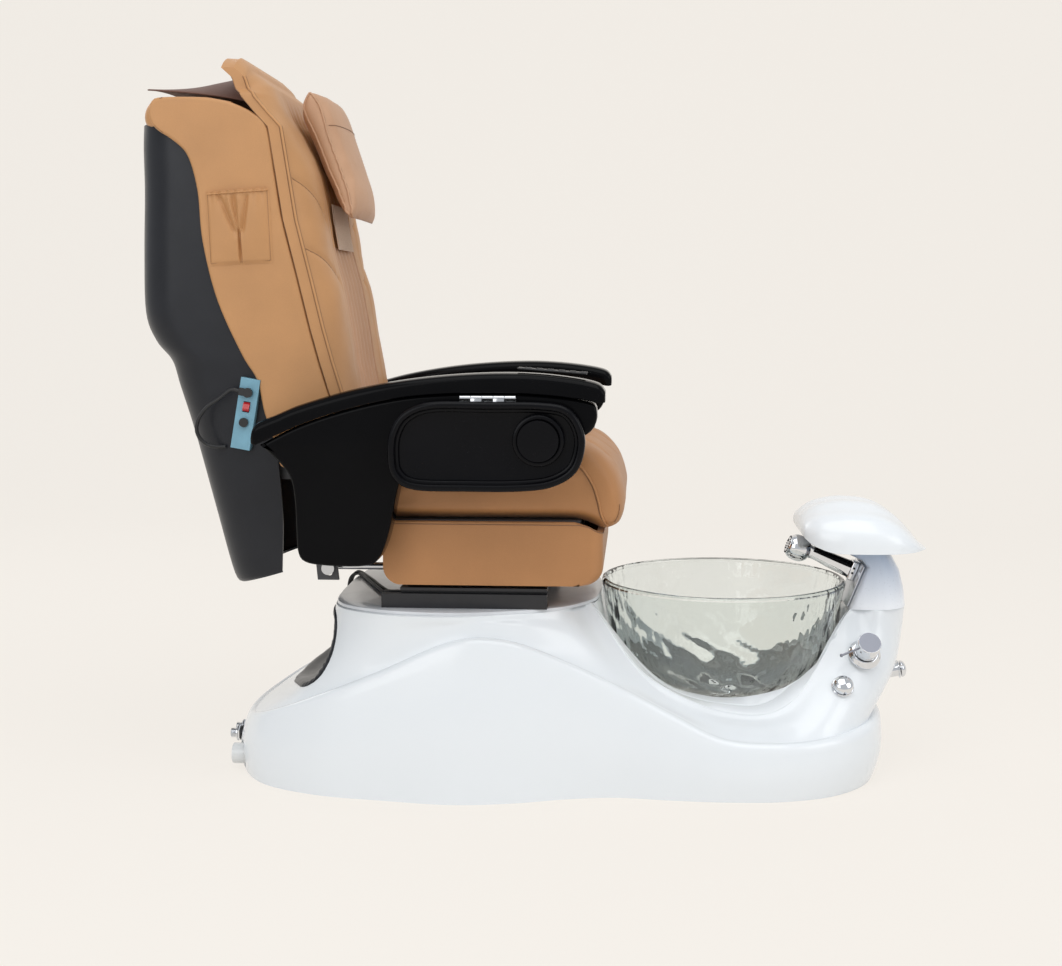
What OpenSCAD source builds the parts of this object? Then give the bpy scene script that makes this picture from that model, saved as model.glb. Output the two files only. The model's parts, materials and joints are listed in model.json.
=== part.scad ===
// Pedicure spa chair: a reclining massage seat on rails over a moulded base with a glass foot bowl.
// X points to the foot end, Y across the chair, Z up. The origin is on the floor, under the middle.

/* [Overall] */
// Height of the deck plate that the seat rails stand on
deck_z = 343; // [335:1:350]
// Half of the width of the backrest cover
back_half_w = 250; // [246:1:252]
// Half of the width of the seat box
seat_half_w = 262; // [256:1:264]

/* [Bowl] */
// Distance of the bowl's centre in front of the origin
bowl_x = 355; // [352:1:358]
// Outer radius of the bowl's rim
bowl_rim_r = 240; // [236:1:241]
// Thickness of the glass
glass_t = 8; // [6:1:10]

/* [Footrest] */
// Width of the footrest
footrest_w = 300; // [260:5:320]
// Number of flutes along the footrest
footrest_flutes = 5; // [3:1:7]

/* [Backrest] */
// Height of the recline pivot
pivot_z = 470; // [465:1:475]
// Distance of the recline pivot from the origin, towards the back
pivot_back = 405; // [402:1:408]
// Depth of the sewn channels in the middle of the back pad
channel_depth = 7; // [3:1:10]
// Number of sewn channels
channels = 6; // [4:1:8]

/* [Arms] */
// Distance of the inner side of the arms from the middle
arm_inner = 268; // [267:1:270]
// Width of the arm pads
arm_w = 74; // [70:1:75]
// Outer radius of the cup holder's collar
cup_r = 46; // [42:1:48]

/* [Hidden] */

wall = 6;                       // thickness of the moulded base
panel_t = 14;                   // thickness of the upholstered back cover
shell_t = 5;                    // thickness of the rear shell
seam_z = 316;                   // joint between the base and the column cover
shell_top = deck_z - wall;
column_top = 432;
seat_base = 508;                // underside of the seat cushion
box_floor = 388;
pivot = [-pivot_back, 0, pivot_z];
arm_pivot = [-345, 0, 470];
rod_y = -192;
rod_z = 411;
rod_pin_x = -393;
hinge_y = arm_inner + arm_w + 1;
hinge_z = 738;

// ---------- curves and surfaces ----------

function unit(v) = norm(v) < 1e-9 ? v * 0 : v / norm(v);
function total(v) = v * [for (e = v) 1];
function middle(pts) = [for (k = [0:len(pts[0]) - 1]) total([for (p = pts) p[k]]) / len(pts)];

// A point of the smooth curve from b to c, whose neighbours are a and d
function curve_point(a, b, c, d, t) =
    0.5 * (2 * b + (c - a) * t + (2 * a - 5 * b + 4 * c - d) * t * t + (3 * b - a - 3 * c + d) * t * t * t);

// A smooth open curve through p, with n steps between two points
function curve(p, n) = let(last = len(p) - 1) [
    for (i = [0:last - 1]) for (k = [0:n - 1])
        curve_point(p[max(i - 1, 0)], p[i], p[i + 1], p[min(i + 2, last)], k / n),
    p[last]];

// A smooth closed curve through p, with n steps between two points
function loop(p, n) = let(m = len(p)) [
    for (i = [0:m - 1]) for (k = [0:n - 1])
        curve_point(p[(i + m - 1) % m], p[i], p[(i + 1) % m], p[(i + 2) % m], k / n)];

// The height or width that a curve of [x, value] points has at x
function at(p, x) = lookup(x, p);

// The outline p, moved inwards by d all round
function turn(p) = let(m = len(p)) total([for (i = [0:m - 1])
    let(a = p[i], b = p[(i + 1) % m]) a[0] * b[1] - b[0] * a[1]]);
function inset(p, d) = let(m = len(p), s = sign(turn(p))) [for (i = [0:m - 1])
    let(t = unit(p[(i + 1) % m] - p[(i + m - 1) % m])) p[i] + s * d * [-t[1], t[0]]];

// Faces in the order that a solid with points on its outside needs
function volume(pts, faces) = total([for (f = faces) pts[f[0]] * cross(pts[f[1]], pts[f[2]])]);
function outward(pts, faces) = volume(pts, faces) < 0 ? faces :
    [for (f = faces) [f[2], f[1], f[0]]];

module solid(pts, faces) {
    polyhedron(pts, outward(pts, faces), convexity = 8);
}

// A solid through closed rings of equally many points, with flat or domed ends
module loft(rings) {
    n = len(rings);
    m = len(rings[0]);
    pts = [for (r = rings) each r, middle(rings[0]), middle(rings[n - 1])];
    solid(pts, [
        for (i = [0:n - 2]) for (j = [0:m - 1])
            let(a = i * m + j, b = i * m + (j + 1) % m) each [[a, b, b + m], [a, b + m, a + m]],
        for (j = [0:m - 1]) [n * m, (j + 1) % m, j],
        for (j = [0:m - 1]) let(a = (n - 1) * m) [n * m + 1, a + j, a + (j + 1) % m]]);
}

// A wall of thickness t on the inner side of the grid g. Its rows close when closed is true,
// and its first row stays level when level is true.
module sheet(g, t, closed = false, level = false) {
    n = len(g);
    m = len(g[0]);
    last = closed ? m - 1 : m - 2;
    inner = [for (i = [0:n - 1]) for (j = [0:m - 1]) let(
        up = g[min(i + 1, n - 1)][j] - g[max(i - 1, 0)][j],
        along = closed ? g[i][(j + 1) % m] - g[i][(j + m - 1) % m]
            : g[i][min(j + 1, m - 1)] - g[i][max(j - 1, 0)],
        q = g[i][j] + t * unit(cross(up, along))) level && i == 0 ? [q[0], q[1], g[i][j][2]] : q];
    k = n * m;
    solid([for (r = g) each r, each inner], [
        for (i = [0:n - 2]) for (j = [0:last]) let(a = i * m + j, b = i * m + (j + 1) % m)
            each [[a, b, b + m], [a, b + m, a + m], [a + k, b + m + k, b + k],
                [a + k, a + m + k, b + m + k]],
        for (j = [0:last]) let(b = (j + 1) % m) each [[j, j + k, b + k], [j, b + k, b]],
        for (j = [0:last]) let(a = (n - 1) * m + j, b = (n - 1) * m + (j + 1) % m)
            each [[a, b, b + k], [a, b + k, a + k]],
        if (!closed) each [for (i = [0:n - 2]) let(a = i * m)
            each [[a, a + m, a + m + k], [a, a + m + k, a + k]]],
        if (!closed) each [for (i = [0:n - 2]) let(a = i * m + m - 1)
            each [[a, a + k, a + m + k], [a, a + m + k, a + m]]]]);
}

// An outline in X and Z, made solid from y0 to y1 with rounded edges of radius r
module slab(p, y0, y1, r) {
    s = sign(y1 - y0);
    steps = [[0, r], [0.3 * r, 0.3 * r], [r, 0]];
    loft([
        for (e = steps) [for (q = inset(p, e[1])) [q[0], y0 + s * e[0], q[1]]],
        for (k = [2:-1:0]) [for (q = inset(p, steps[k][1])) [q[0], y1 - s * steps[k][0], q[1]]]]);
}

// An outline in X and Z, made solid from y0 to y1 with true flat faces
module plate(p, y0, y1) {
    translate([0, max(y0, y1), 0]) rotate([90, 0, 0]) linear_extrude(abs(y1 - y0)) polygon(p);
}

// A round bar from a to b
module bar(a, b, r, n = 32) {
    d = b - a;
    translate(a) rotate([0, acos(d[2] / norm(d)), atan2(d[1], d[0])]) cylinder(h = norm(d), r = r, $fn = n);
}

// A tube swept along the smooth curve through the points of a route
module cord(route, r, steps, sides = 8) {
    p = curve(route, steps);
    n = len(p);
    loft([for (i = [0:n - 1]) let(
        t = unit(p[min(i + 1, n - 1)] - p[max(i - 1, 0)]),
        u = unit(cross(t, abs(t[2]) > 0.9 ? [0, 1, 0] : [0, 0, 1])),
        w = cross(t, u))
        [for (k = [0:sides - 1]) p[i] + r * (cos(k * 360 / sides) * u + sin(k * 360 / sides) * w)]]);
}

module both_sides() {
    children();
    mirror([0, 1, 0]) children();
}

// A band of half-width h along a line of [x, z] points
function band(p, h) = let(n = len(p)) concat(
    [for (i = [0:n - 1]) let(t = unit(p[min(i + 1, n - 1)] - p[max(i - 1, 0)])) p[i] + h * [-t[1], t[0]]],
    [for (i = [n - 1:-1:0]) let(t = unit(p[min(i + 1, n - 1)] - p[max(i - 1, 0)])) p[i] - h * [-t[1],
        t[0]]]);

// ---------- glass bowl ----------

// Outer radius and height, from the flat foot to the rim
bowl_profile = curve([[80, 126], [134, 140], [184, 175], [213, 218], [228, 275], [235, 325], [bowl_rim_r,
    357]], 3);
bowl_heights = [for (p = bowl_profile) [p[1], p[0]]];
function bowl_r(z) = lookup(z, bowl_heights);

// ---------- base shell ----------

// Half outlines from the tail to the nose, on the near side: [x, y, z]
foot_line = [[-600, 0, 0], [-585, -130, 0], [-522, -246, 0], [-409, -310, 0], [-280, -336, 0],
    [-150, -353, 0], [-40, -337, 0], [60, -305, 0], [150, -289, 0], [250, -299, 0], [350, -304, 0],
    [460, -293, 0], [560, -246, 0], [630, -150, 0], [650, 0, 0]];
ridge_line = [[-592, 0, 92], [-578, -122, 96], [-522, -222, 122], [-412, -284, 168], [-285, -308, 222],
    [-150, -318, 281], [-50, -312, 283], [60, -290, 240], [160, -276, 189], [255, -286, 141],
    [350, -298, 101], [465, -292, 95], [568, -246, 100], [642, -150, 107], [664, 0, 109]];
waist_line = [[-446, 0, 200], [-443, -95, 204], [-425, -175, 215], [-376, -240, 262], [-285, -282, 292],
    [-150, -297, 318], [-40, -284, 318], [66, -246, 290], [160, -226, 222], [255, -236, 160],
    [352, -250, 128], [470, -240, 128], [580, -182, 180], [672, -92, 205], [697, 0, 210]];
rim_line = [[-396, 0, shell_top], [-395, -90, shell_top], [-385, -185, shell_top], [-345, -245, shell_top],
    [-260, -289, shell_top], [-150, -300, shell_top], [-40, -272, shell_top], [43, -228, shell_top],
    [96, -150, shell_top], [200, -206, 215], [350, -218, 148], [478, -196, 165], [598, -70, seam_z],
    [655, -76, seam_z], [713, 0, seam_z]];
inner_line = [[115, 0, shell_top], [115, -25, shell_top], [114, -50, shell_top], [112, -75, shell_top],
    [110, -98, shell_top], [108, -116, shell_top], [106, -128, shell_top], [104, -136, shell_top],
    [108, -146, shell_top - 8], [226, -184, 196], [350, -197, 158], [458, -172, 172], [597, -60, seam_z],
    [596, -34, seam_z], [596, 0, seam_z]];
// Directions of the stations, seen from the bowl's centre
contact_turn = [180, 176, 172, 168, 163, 158, 153, 148, 140, 118, 90, 62, 34, 16, 0];
contact_line = [for (a = contact_turn) let(z = 191 + 27 * cos(2 * a), r = bowl_r(z) + 5.5)
    [bowl_x + r * cos(a), -r * sin(a), z]];

function whole(h) = let(m = len(h)) concat(h, [for (k = [m - 2:-1:1]) [h[k][0], -h[k][1], h[k][2]]]);
function inward(h, d, up) = let(m = len(h)) [for (k = [0:m - 1]) let(
    before = k == 0 ? [h[1][0], -h[1][1]] : [h[k - 1][0], h[k - 1][1]],
    after = k == m - 1 ? [h[k - 1][0], -h[k - 1][1]] : [h[k + 1][0], h[k + 1][1]],
    t = unit(after - before)) h[k] + [-t[1] * d, t[0] * d, up]];
function outside_bowl(p) = let(d = [p[0] - bowl_x, p[1]], r = max(norm(d), bowl_r(p[2]) + 6.5))
    p[2] > 357 || norm(d) < 1 ? p : [bowl_x + d[0] / norm(d) * r, d[1] / norm(d) * r, p[2]];
function level(p) = [p[0], p[1], min(p[2], p[0] > 590 ? seam_z : shell_top)];
function level_ring(h, n) = [for (p = loop(whole(h), n)) level(p)];

// Rows of the shell, from the floor to the bowl, with n steps between stations
function base_rows(n) = let(
    foot = level_ring(foot_line, n),
    ridge = level_ring(ridge_line, n),
    ledge = level_ring(inward(ridge_line, 16, 11), n),
    waist = level_ring(waist_line, n),
    rim = level_ring(rim_line, n),
    inner = [for (p = level_ring(inner_line, n)) outside_bowl(p)],
    contact = level_ring(contact_line, n),
    m = len(foot)) [
    foot,
    for (s = [0.25, 0.5, 0.8]) [for (j = [0:m - 1]) let(
        flat = [foot[j][0], foot[j][1], 0],
        q = foot[j] * (1 - s) + ridge[j] * s) q + 9 * sin(180 * s) * unit([foot[j][0], foot[j][1], 0])],
    ridge,
    ledge,
    for (t = [0.34, 0.67]) [for (j = [0:m - 1]) level(curve_point(ridge[j], ledge[j], waist[j], rim[j],
        t))],
    waist,
    for (t = [0.34, 0.67]) [for (j = [0:m - 1]) level(curve_point(ledge[j], waist[j], rim[j],
        rim[j] + [0, 0, 60], t))],
    rim,
    inner,
    for (t = [0.25, 0.5, 0.75]) [for (j = [0:m - 1]) outside_bowl(inner[j] * (1 - t) + contact[j] * t)],
    contact];

module base_shell() {
    color("white") difference() {
        sheet(base_rows(3), wall, closed = true, level = true);
        recess_prism(9);
        both_sides() translate([60, 120, shell_top - 0.05]) cube([65, 65, 8]);
        translate([-640, -150, 30]) rotate([0, 90, 0]) cylinder(h = 110, r = 27, $fn = 40);
        for (y = inlet_y) translate([-640, y, 46]) rotate([0, 90, 0]) cylinder(h = 60, r = 11, $fn = 24);
        on_tap(mixer_at, tap_dir) translate([0, 0, -30]) cylinder(h = 40, r = mixer_neck + 0.3, $fn = 48);
        on_tap(diverter_at, tap_dir) translate([0, 0, -30]) cylinder(h = 40, r = diverter_neck + 0.3,
            $fn = 40);
        translate(drain_knob_at) rotate([0, drain_knob_tilt, 0]) translate([0, 0, -30])
            cylinder(h = 40, r = drain_knob_neck + 0.3, $fn = 40);
    }
}

deck_outline = let(h = [for (k = [0:8]) [rim_line[k][0] + 2, rim_line[k][1] * 0.985]])
    loop(concat(h, [[113, -80], [115.5, 0], [113, 80]], [for (k = [8:-1:1]) [h[k][0], -h[k][1]]]), 3);

module deck_plate() {
    color("silver") translate([0, 0, shell_top]) linear_extrude(deck_z - shell_top) polygon(deck_outline);
}

module glass_bowl() {
    m = len(bowl_profile);
    inner = [for (k = [m - 1:-1:0]) [bowl_profile[k][0] - glass_t, max(bowl_profile[k][1], 126 + glass_t)]];
    color("lightcyan", 0.4) translate([bowl_x, 0, 0]) rotate_extrude($fn = 96)
        polygon(concat([[22, 126]], bowl_profile, [[bowl_rim_r, 362], [bowl_rim_r - 5, 366],
            [bowl_rim_r - 10, 362]],
            inner, [[22, 126 + glass_t]]));
}

module bowl_cradle() {
    color("gainsboro") translate([bowl_x, 0, 0]) {
        difference() {
            translate([0, 0, 112]) cylinder(h = 14, r = 78, $fn = 64);
            translate([0, 0, 100]) cylinder(h = 40, r = 34, $fn = 48);
        }
        for (a = [45:90:315]) rotate(a) translate([60, 0, 72]) cylinder(h = 40, r = 12, $fn = 24);
    }
}

module drain_strainer() {
    color("silver") translate([bowl_x, 0, 0]) difference() {
        union() {
            translate([0, 0, 126 + glass_t]) cylinder(h = 3, r = 32, $fn = 48);
            translate([0, 0, 90]) cylinder(h = 46 + glass_t - 8, r = 21.5, $fn = 48);
            translate([0, 0, 114]) cylinder(h = 12, r = 30, $fn = 6);
        }
        translate([0, 0, 80]) cylinder(h = 48, r = 18, $fn = 32);
        for (a = [0:60:300]) rotate(a) translate([11, 0, 100]) cylinder(h = 60, r = 3.5, $fn = 16);
    }
}

drain_out = [-600, -150, 30];
inlet_y = [-62, -18];
module drain_pipe() {
    elbow = [bowl_x, 0, 40];
    joint_x = -536;
    color("white") {
        bar([bowl_x, 0, 90], elbow, 18);
        translate([bowl_x, 0, 16]) cylinder(h = 48, r = 24, $fn = 48);
        bar(elbow, [joint_x + 13, drain_out[1], drain_out[2]], 18);
        bar([joint_x, drain_out[1], drain_out[2]], [joint_x + 26, drain_out[1], drain_out[2]], 24, 48);
        difference() {
            bar(drain_out, [joint_x + 4, drain_out[1], drain_out[2]], 20, 48);
            bar(drain_out - [1, 0, 0], drain_out + [47, 0, 0], 16.5, 48);
        }
    }
}

module water_inlets() {
    color("silver") for (y = inlet_y) translate([-628, y, 46]) rotate([0, 90, 0]) difference() {
        union() {
            cylinder(h = 12, r = 10, $fn = 40);
            translate([0, 0, 12]) cylinder(h = 8, r = 15, $fn = 6);
            translate([0, 0, 20]) cylinder(h = 62, r = 9, $fn = 40);
        }
        translate([0, 0, -1]) cylinder(h = 70, r = 6.5, $fn = 32);
    }
}

module base_frame() {
    color("dimgray") {
        both_sides() {
            translate([-430, 180, 20]) cube([620, 40, 40]);
            for (x = [-270, -20]) translate([x, 194, 60]) cube([40, 40, shell_top - wall - 61]);
            translate([150, 30, 60]) cube([450, 24, 12]);
        }
        for (x = [-430, -120, 150]) translate([x, -200, 60]) cube([40, 400, 12]);
        translate([540, -54, 60]) cube([60, 108, 12]);
        translate([545, -15, 20]) cube([30, 30, 40]);
    }
}

feet_at = [[-410, 200], [-410, -200], [160, 200], [160, -200], [560, 0]];
module base_feet() {
    color("#222222") for (p = feet_at) translate([p[0], p[1], 0]) {
        cylinder(h = 12, r = 24, $fn = 40);
        translate([0, 0, 12]) cylinder(h = 8, r = 10, $fn = 24);
    }
}

rail_y = 234;
module slide_rails() {
    color("#1c1c1e") both_sides() translate([-288, rail_y, deck_z]) difference() {
        translate([0, -20, 0]) cube([308, 40, 27]);
        translate([-1, -17, 3]) cube([310, 34, 20]);
        translate([-1, -9, 20]) cube([310, 18, 10]);
    }
}

// Routes of the two cables from under the seat to the recess behind the deck
deck_routes = [
    [[-288, -150, 347], [-310, -142, 347], [-335, -120, 347], [-355, -84, 347], [-372, -48, 347],
        [-386, -26, 347], [-400, -14, 346], [-412, -8, 334], [-417, -4, 310], [-419, 0, 284],
        [-424, 4, 254], [-440, 8, 230]],
    [[-288, -128, 347], [-312, -118, 347], [-338, -92, 347], [-358, -56, 347], [-374, -24, 347],
        [-388, -6, 347], [-402, 6, 346], [-413, 12, 334], [-418, 16, 310], [-420, 20, 284],
        [-425, 24, 254], [-441, 28, 230]]];
module deck_cables() {
    color("#151515") for (r = deck_routes) cord(r, 3.5, 2);
}

// Outline of the recess behind the deck, seen from the back: [y, z]
spoon_half = [[0, 324], [30, 319], [46, 297], [54, 265], [66, 235], [88, 210], [93, 190], [74, 170], [38,
    157],
    [0, 154]];
spoon = loop(concat(spoon_half, [for (k = [8:-1:1]) [-spoon_half[k][0], spoon_half[k][1]]]), 2);
module recess_prism(d) {
    translate([-540, 0, 0]) rotate([90, 0, 90]) linear_extrude(170) polygon(inset(spoon, d));
}

// The tail of the shell, from its outer face to a face d deeper
module tail_skin(d) {
    rows = base_rows(3);
    m = len(rows[0]);
    sheet([for (i = [4:11]) [for (j = [-6:6]) rows[i][(j + m) % m]]], d);
}

recess_depth = 22;
liner_t = 3;
module recess_liner() {
    color("#2b2b2e") {
        intersection() {
            tail_skin(-liner_t);
            difference() {
                recess_prism(0);
                recess_prism(10);
            }
        }
        difference() {
            intersection() {
                union() {
                    tail_skin(-liner_t);
                    tail_skin(recess_depth + liner_t);
                }
                recess_prism(9.3);
            }
            intersection() {
                union() {
                    tail_skin(-liner_t - 2);
                    tail_skin(recess_depth);
                }
                recess_prism(9 + liner_t);
            }
        }
    }
}

// ---------- column, taps and footrest ----------

// Side view of the column above the seam
column_side = concat([[596, seam_z], [629, 399], [618, 412], [590, 424], [556, 430], [554, column_top]],
    curve([[667, column_top], [684, 414], [700, 385], [709, 350], [713, seam_z]], 3));
column_plan = loop([[713, 0], [704, -44], [668, -74], [620, -76], [575, -62], [545, -34], [540, 0],
    [545, 34], [575, 62], [620, 76], [668, 74], [704, 44]], 3);
lean = atan2(33, 83);           // slope of the face towards the bowl
spray_h = 66;                   // height of the hand spray up that face
module on_face() {
    translate([596, 0, seam_z]) rotate([0, lean, 0]) children();
}

module column_cover() {
    color("#cfd8e2") difference() {
        intersection() {
            plate(column_side, -80, 80);
            translate([0, 0, seam_z]) linear_extrude(column_top - seam_z) polygon(column_plan);
        }
        on_face() translate([-10, 0, spray_h]) rotate([0, 90, 0]) cylinder(h = 95, r = 9, $fn = 32);
    }
}

module column_faceplate() {
    color("#b4bac4") on_face() difference() {
        translate([-5, -58, 1]) cube([5, 116, 86]);
        translate([-10, 0, spray_h]) rotate([0, 90, 0]) cylinder(h = 20, r = 9, $fn = 32);
    }
}

module spray_dock() {
    color("silver") on_face() translate([0, 0, spray_h]) difference() {
        translate([-19, -20.5, -19.5]) cube([14, 41, 39]);
        translate([-20, -17, -16.5]) cube([12, 34, 33]);
        translate([-20, 0, 0]) rotate([0, 90, 0]) cylinder(h = 30, r = 9, $fn = 32);
    }
}

// Sections of the handset: [distance from the face, half-width, half-height, rise]
handset_sections = [[8, 16, 16, 0], [30, 16, 16, 0], [60, 15, 15, 1], [90, 13.5, 13.5, 3], [112, 17, 16, 2],
    [124, 21, 20, 0]];
module spray_handset() {
    corner = [for (a = [0:22.5:337.5]) let(c = cos(a), d = sin(a), m = pow(pow(abs(c), 5) + pow(abs(d),
        5), 0.2)) [c / m, d / m]];
    color("silver") on_face() translate([0, 0, spray_h]) {
        loft([for (s = handset_sections) [for (c = corner) [-s[0], s[1] * c[0], s[3] + s[2] * c[1]]]]);
        translate([-124, 0, 0]) rotate([0, -90, 0]) cylinder(h = 22, r1 = 22, r2 = 26, $fn = 40);
        translate([-146, 0, 0]) rotate([0, -90, 0]) cylinder(h = 4, r = 21, $fn = 40);
        translate([-9, 0, 0]) rotate([0, 90, 0]) cylinder(h = 82, r = 7.5, $fn = 32);
    }
}

module footrest_guide() {
    color("dimgray") {
        translate([575, -30, column_top]) cube([80, 60, 8]);
        translate([575, -42, column_top + 8]) cube([80, 84, 5]);
    }
}

// Top and underside of the footrest: [x, z]
footrest_top = curve([[499, 486], [507, 503], [530, 517], [560, 524], [592, 527], [641, 521], [680, 500],
    [712, 467], [732, 441], [740, 436]], 2);
footrest_bottom = [[499, 478], [507, 464], [530, 448], [560, 437], [592, 434.6], [740, 434.6]];
footrest_half = [[499, 0.55], [507, 0.72], [530, 0.88], [560, 0.96], [592, 1], [641, 1], [680, 0.94],
    [712, 0.78],
    [732, 0.56], [740, 0.44]];
module footrest() {
    n = 36;
    color("white") difference() {
        loft([for (p = footrest_top) let(w = at(footrest_half, p[0]) * footrest_w / 2,
            low = at(footrest_bottom, p[0]),
            high = max(p[1], low + 1.2)) concat(
            [for (k = [0:n]) let(a = 180 * k / n, crown = pow(sin(a), 0.62),
                flute = 1 - 0.05 * pow(abs(sin(a * footrest_flutes)), 3) * sin(a))
                [p[0], -w * cos(a), low + 1 + (high - low - 1) * crown * flute]],
            [[p[0], w * 0.94, low], [p[0], 0, low], [p[0], -w * 0.94, low]])]);
        translate([520, -31, 430]) cube([136, 62, 12]);
        translate([520, -43, column_top + 7.5]) cube([136, 86, 6]);
    }
}

tap_dir = [0.1, -0.75, 0.65];
module on_tap(at_point, dir) {
    translate(at_point) rotate([0, acos(dir[2] / norm(dir)), atan2(dir[1], dir[0])]) children();
}
mixer_at = [618.2, -128.5, 239.3];
diverter_at = [572.2, -180, 188.8];
drain_knob_at = [703, 0, 183];
drain_knob_tilt = 80;
mixer_neck = 26;
diverter_neck = 17;
drain_knob_neck = 14;

// A round collar on a neck through the shell, with a bore for the stem
module collar(flange_r, flange_h, neck_r, bore_r) {
    difference() {
        union() {
            cylinder(h = flange_h, r = flange_r, $fn = 48);
            translate([0, 0, -22]) cylinder(h = 22, r = neck_r, $fn = 48);
        }
        translate([0, 0, -14]) cylinder(h = 14 + flange_h + 1, r = bore_r, $fn = 48);
    }
}

module mixer_escutcheon() {
    color("silver") on_tap(mixer_at, tap_dir) {
        collar(31, 5, mixer_neck, 10.05);
        translate([0, 0, 5]) difference() {
            cylinder(h = 7, r1 = 29, r2 = 24, $fn = 48);
            translate([0, 0, -1]) cylinder(h = 9, r = 10.05, $fn = 48);
        }
    }
}

module mixer_cap() {
    color("silver") on_tap(mixer_at, tap_dir) {
        translate([0, 0, -14]) cylinder(h = 29, r = 10, $fn = 48);
        translate([0, 0, 15]) cylinder(h = 34, r = 22.5, $fn = 64);
        translate([0, 0, 27]) rotate([0, 90, 200]) cylinder(h = 64, r = 1.9, $fn = 16);
        translate([0, 0, 27]) rotate([0, 90, 200]) translate([0, 0, 64]) sphere(r = 4, $fn = 20);
    }
}

module diverter_escutcheon() {
    color("silver") on_tap(diverter_at, tap_dir) collar(21, 3, diverter_neck, 7.05);
}

module diverter_knob() {
    color("silver") on_tap(diverter_at, tap_dir) {
        translate([0, 0, -14]) cylinder(h = 19, r = 7, $fn = 40);
        translate([0, 0, 4.5]) rotate_extrude($fn = 48)
            polygon(concat([[0, 0]], curve([[19, 0], [19, 5], [15.5, 11], [9, 14.6], [0, 16]], 3)));
    }
}

module drain_knob_escutcheon() {
    color("silver") translate(drain_knob_at) rotate([0, drain_knob_tilt, 0]) collar(18, 3,
        drain_knob_neck, 6.05);
}

module drain_knob() {
    color("silver") translate(drain_knob_at) rotate([0, drain_knob_tilt, 0]) {
        translate([0, 0, -14]) cylinder(h = 19, r = 6, $fn = 40);
        translate([0, 0, 4.5]) rotate_extrude($fn = 48)
            polygon(concat([[0, 0]], curve([[16, 0], [16.5, 6], [13, 11], [0, 13]], 3)));
    }
}

// ---------- seat ----------

module seat_carriage() {
    color("#26262a") {
        both_sides() translate([-253, rail_y, deck_z]) {
            translate([0, -15.5, 7]) cube([273, 31, 8]);
            translate([0, -6, 15]) cube([273, 12, 18]);
            translate([0, -18, 33]) cube([273, 36, 5]);
        }
        for (x = [-245, -20]) translate([x, -216, deck_z + 33]) cube([40, 432, 12]);
    }
}

module seat_frame() {
    color("#3a3a3e") {
        both_sides() translate([-275, 120, box_floor]) cube([360, 8, 105]);
        both_sides() translate([-275, 128, 485]) cube([360, 30, 8]);
        difference() {
            translate([-280, -245, 493]) cube([360, 490, seat_base - 493]);
            for (x = [-200, -80, 40]) translate([x, 0, 490]) cylinder(h = 30, r = 22, $fn = 32);
        }
    }
}

module side_plates() {
    color("#303034") both_sides() difference() {
        union() {
            plate([[-280, 493], [-120, 493], [-120, 460], [-160, 444], [-345, 446], [-345, 494]], 228, 236);
            plate([[-405, 448], [-345, 446], [-345, 494], [-405, 492]], 228, 236);
            for (x = [pivot[0], arm_pivot[0]]) translate([x, 236, pivot_z]) rotate([90, 0,
                0]) cylinder(h = 8, r = 24, $fn = 48);
        }
        translate([pivot[0], 240, pivot_z]) rotate([90, 0, 0]) cylinder(h = 20, r = 8, $fn = 32);
        translate([arm_pivot[0], 240, arm_pivot[2]]) rotate([90, 0, 0]) cylinder(h = 20, r = 12, $fn = 40);
    }
}

module pivot_bolts() {
    color("goldenrod") both_sides() {
        translate([pivot[0], 240, pivot_z]) rotate([90, 0, 0]) {
            cylinder(h = 30, r = 8, $fn = 32);
            cylinder(h = 4, r = 13, $fn = 6);
        }
        translate([arm_pivot[0], 330, arm_pivot[2]]) rotate([90, 0, 0]) cylinder(h = 106, r = 12, $fn = 40);
        translate([arm_pivot[0], 228, arm_pivot[2]]) rotate([90, 0, 0]) cylinder(h = 6, r = 18, $fn = 6);
    }
}

module seat_box() {
    r = 34;
    side = concat([[-283, 490], [-283, box_floor + r]],
        [for (a = [180:15:270]) [-283 + r + r * cos(a), box_floor + r + r * sin(a)]],
        [for (a = [270:15:360]) [123 - r + r * cos(a), box_floor + r + r * sin(a)]], [[123, 490]]);
    h = seat_half_w;
    rr = 26;
    function hoop(x, w, q) = concat([[-283, -w], [x - q, -w]], [for (a = [-75:15:0]) [x - q + q * cos(a),
        -w + q + q * sin(a)]],
        [for (a = [0:15:75]) [x - q + q * cos(a), w - q + q * sin(a)]], [[x - q, w], [-283, w]]);
    color("#c08a58") intersection() {
        plate(side, -300, 300);
        translate([0, 0, box_floor]) linear_extrude(490 - box_floor) difference() {
            polygon(hoop(123, h, rr));
            polygon([for (p = hoop(111, h - 12, rr - 12)) [p[0] < -280 ? -290 : p[0], p[1]]]);
        }
    }
}

// Side view of the seat cushion, from the underside at the back round the front roll
cushion_side = loop([[-312, 512], [-200, seat_base], [-60, seat_base], [60, seat_base], [98, 503], [117,
    492], [140, 487],
    [158, 494], [166, 522], [163, 552], [153, 584], [135, 617], [112, 637], [85, 645], [52, 641], [0, 632],
    [-110, 622], [-240, 620], [-308, 618], [-317, 600], [-318, 550]], 2);
module seat_cushion() {
    half = seat_half_w - 1;
    stations = [-1, -0.985, -0.94, -0.84, -0.68, -0.45, -0.2, 0, 0.2, 0.45, 0.68, 0.84, 0.94, 0.985, 1];
    color("#b8824f") loft([for (s = stations) let(
        e = abs(s), draw = 20 * pow(e, 14) + 3 * pow(e, 4), crown = 9 * (1 - e * e),
        dish = 8 * exp(-pow((e - 0.66) / 0.08, 2)))
        [for (p = inset(cushion_side, draw)) [p[0], s * half,
            max(p[1],
                p[0] > 92 ? 0 : seat_base) + (p[1] > 580 ? crown - (p[0] < 60 ? dish * 0.5 : 0) : 0)]]]);
}

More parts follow.
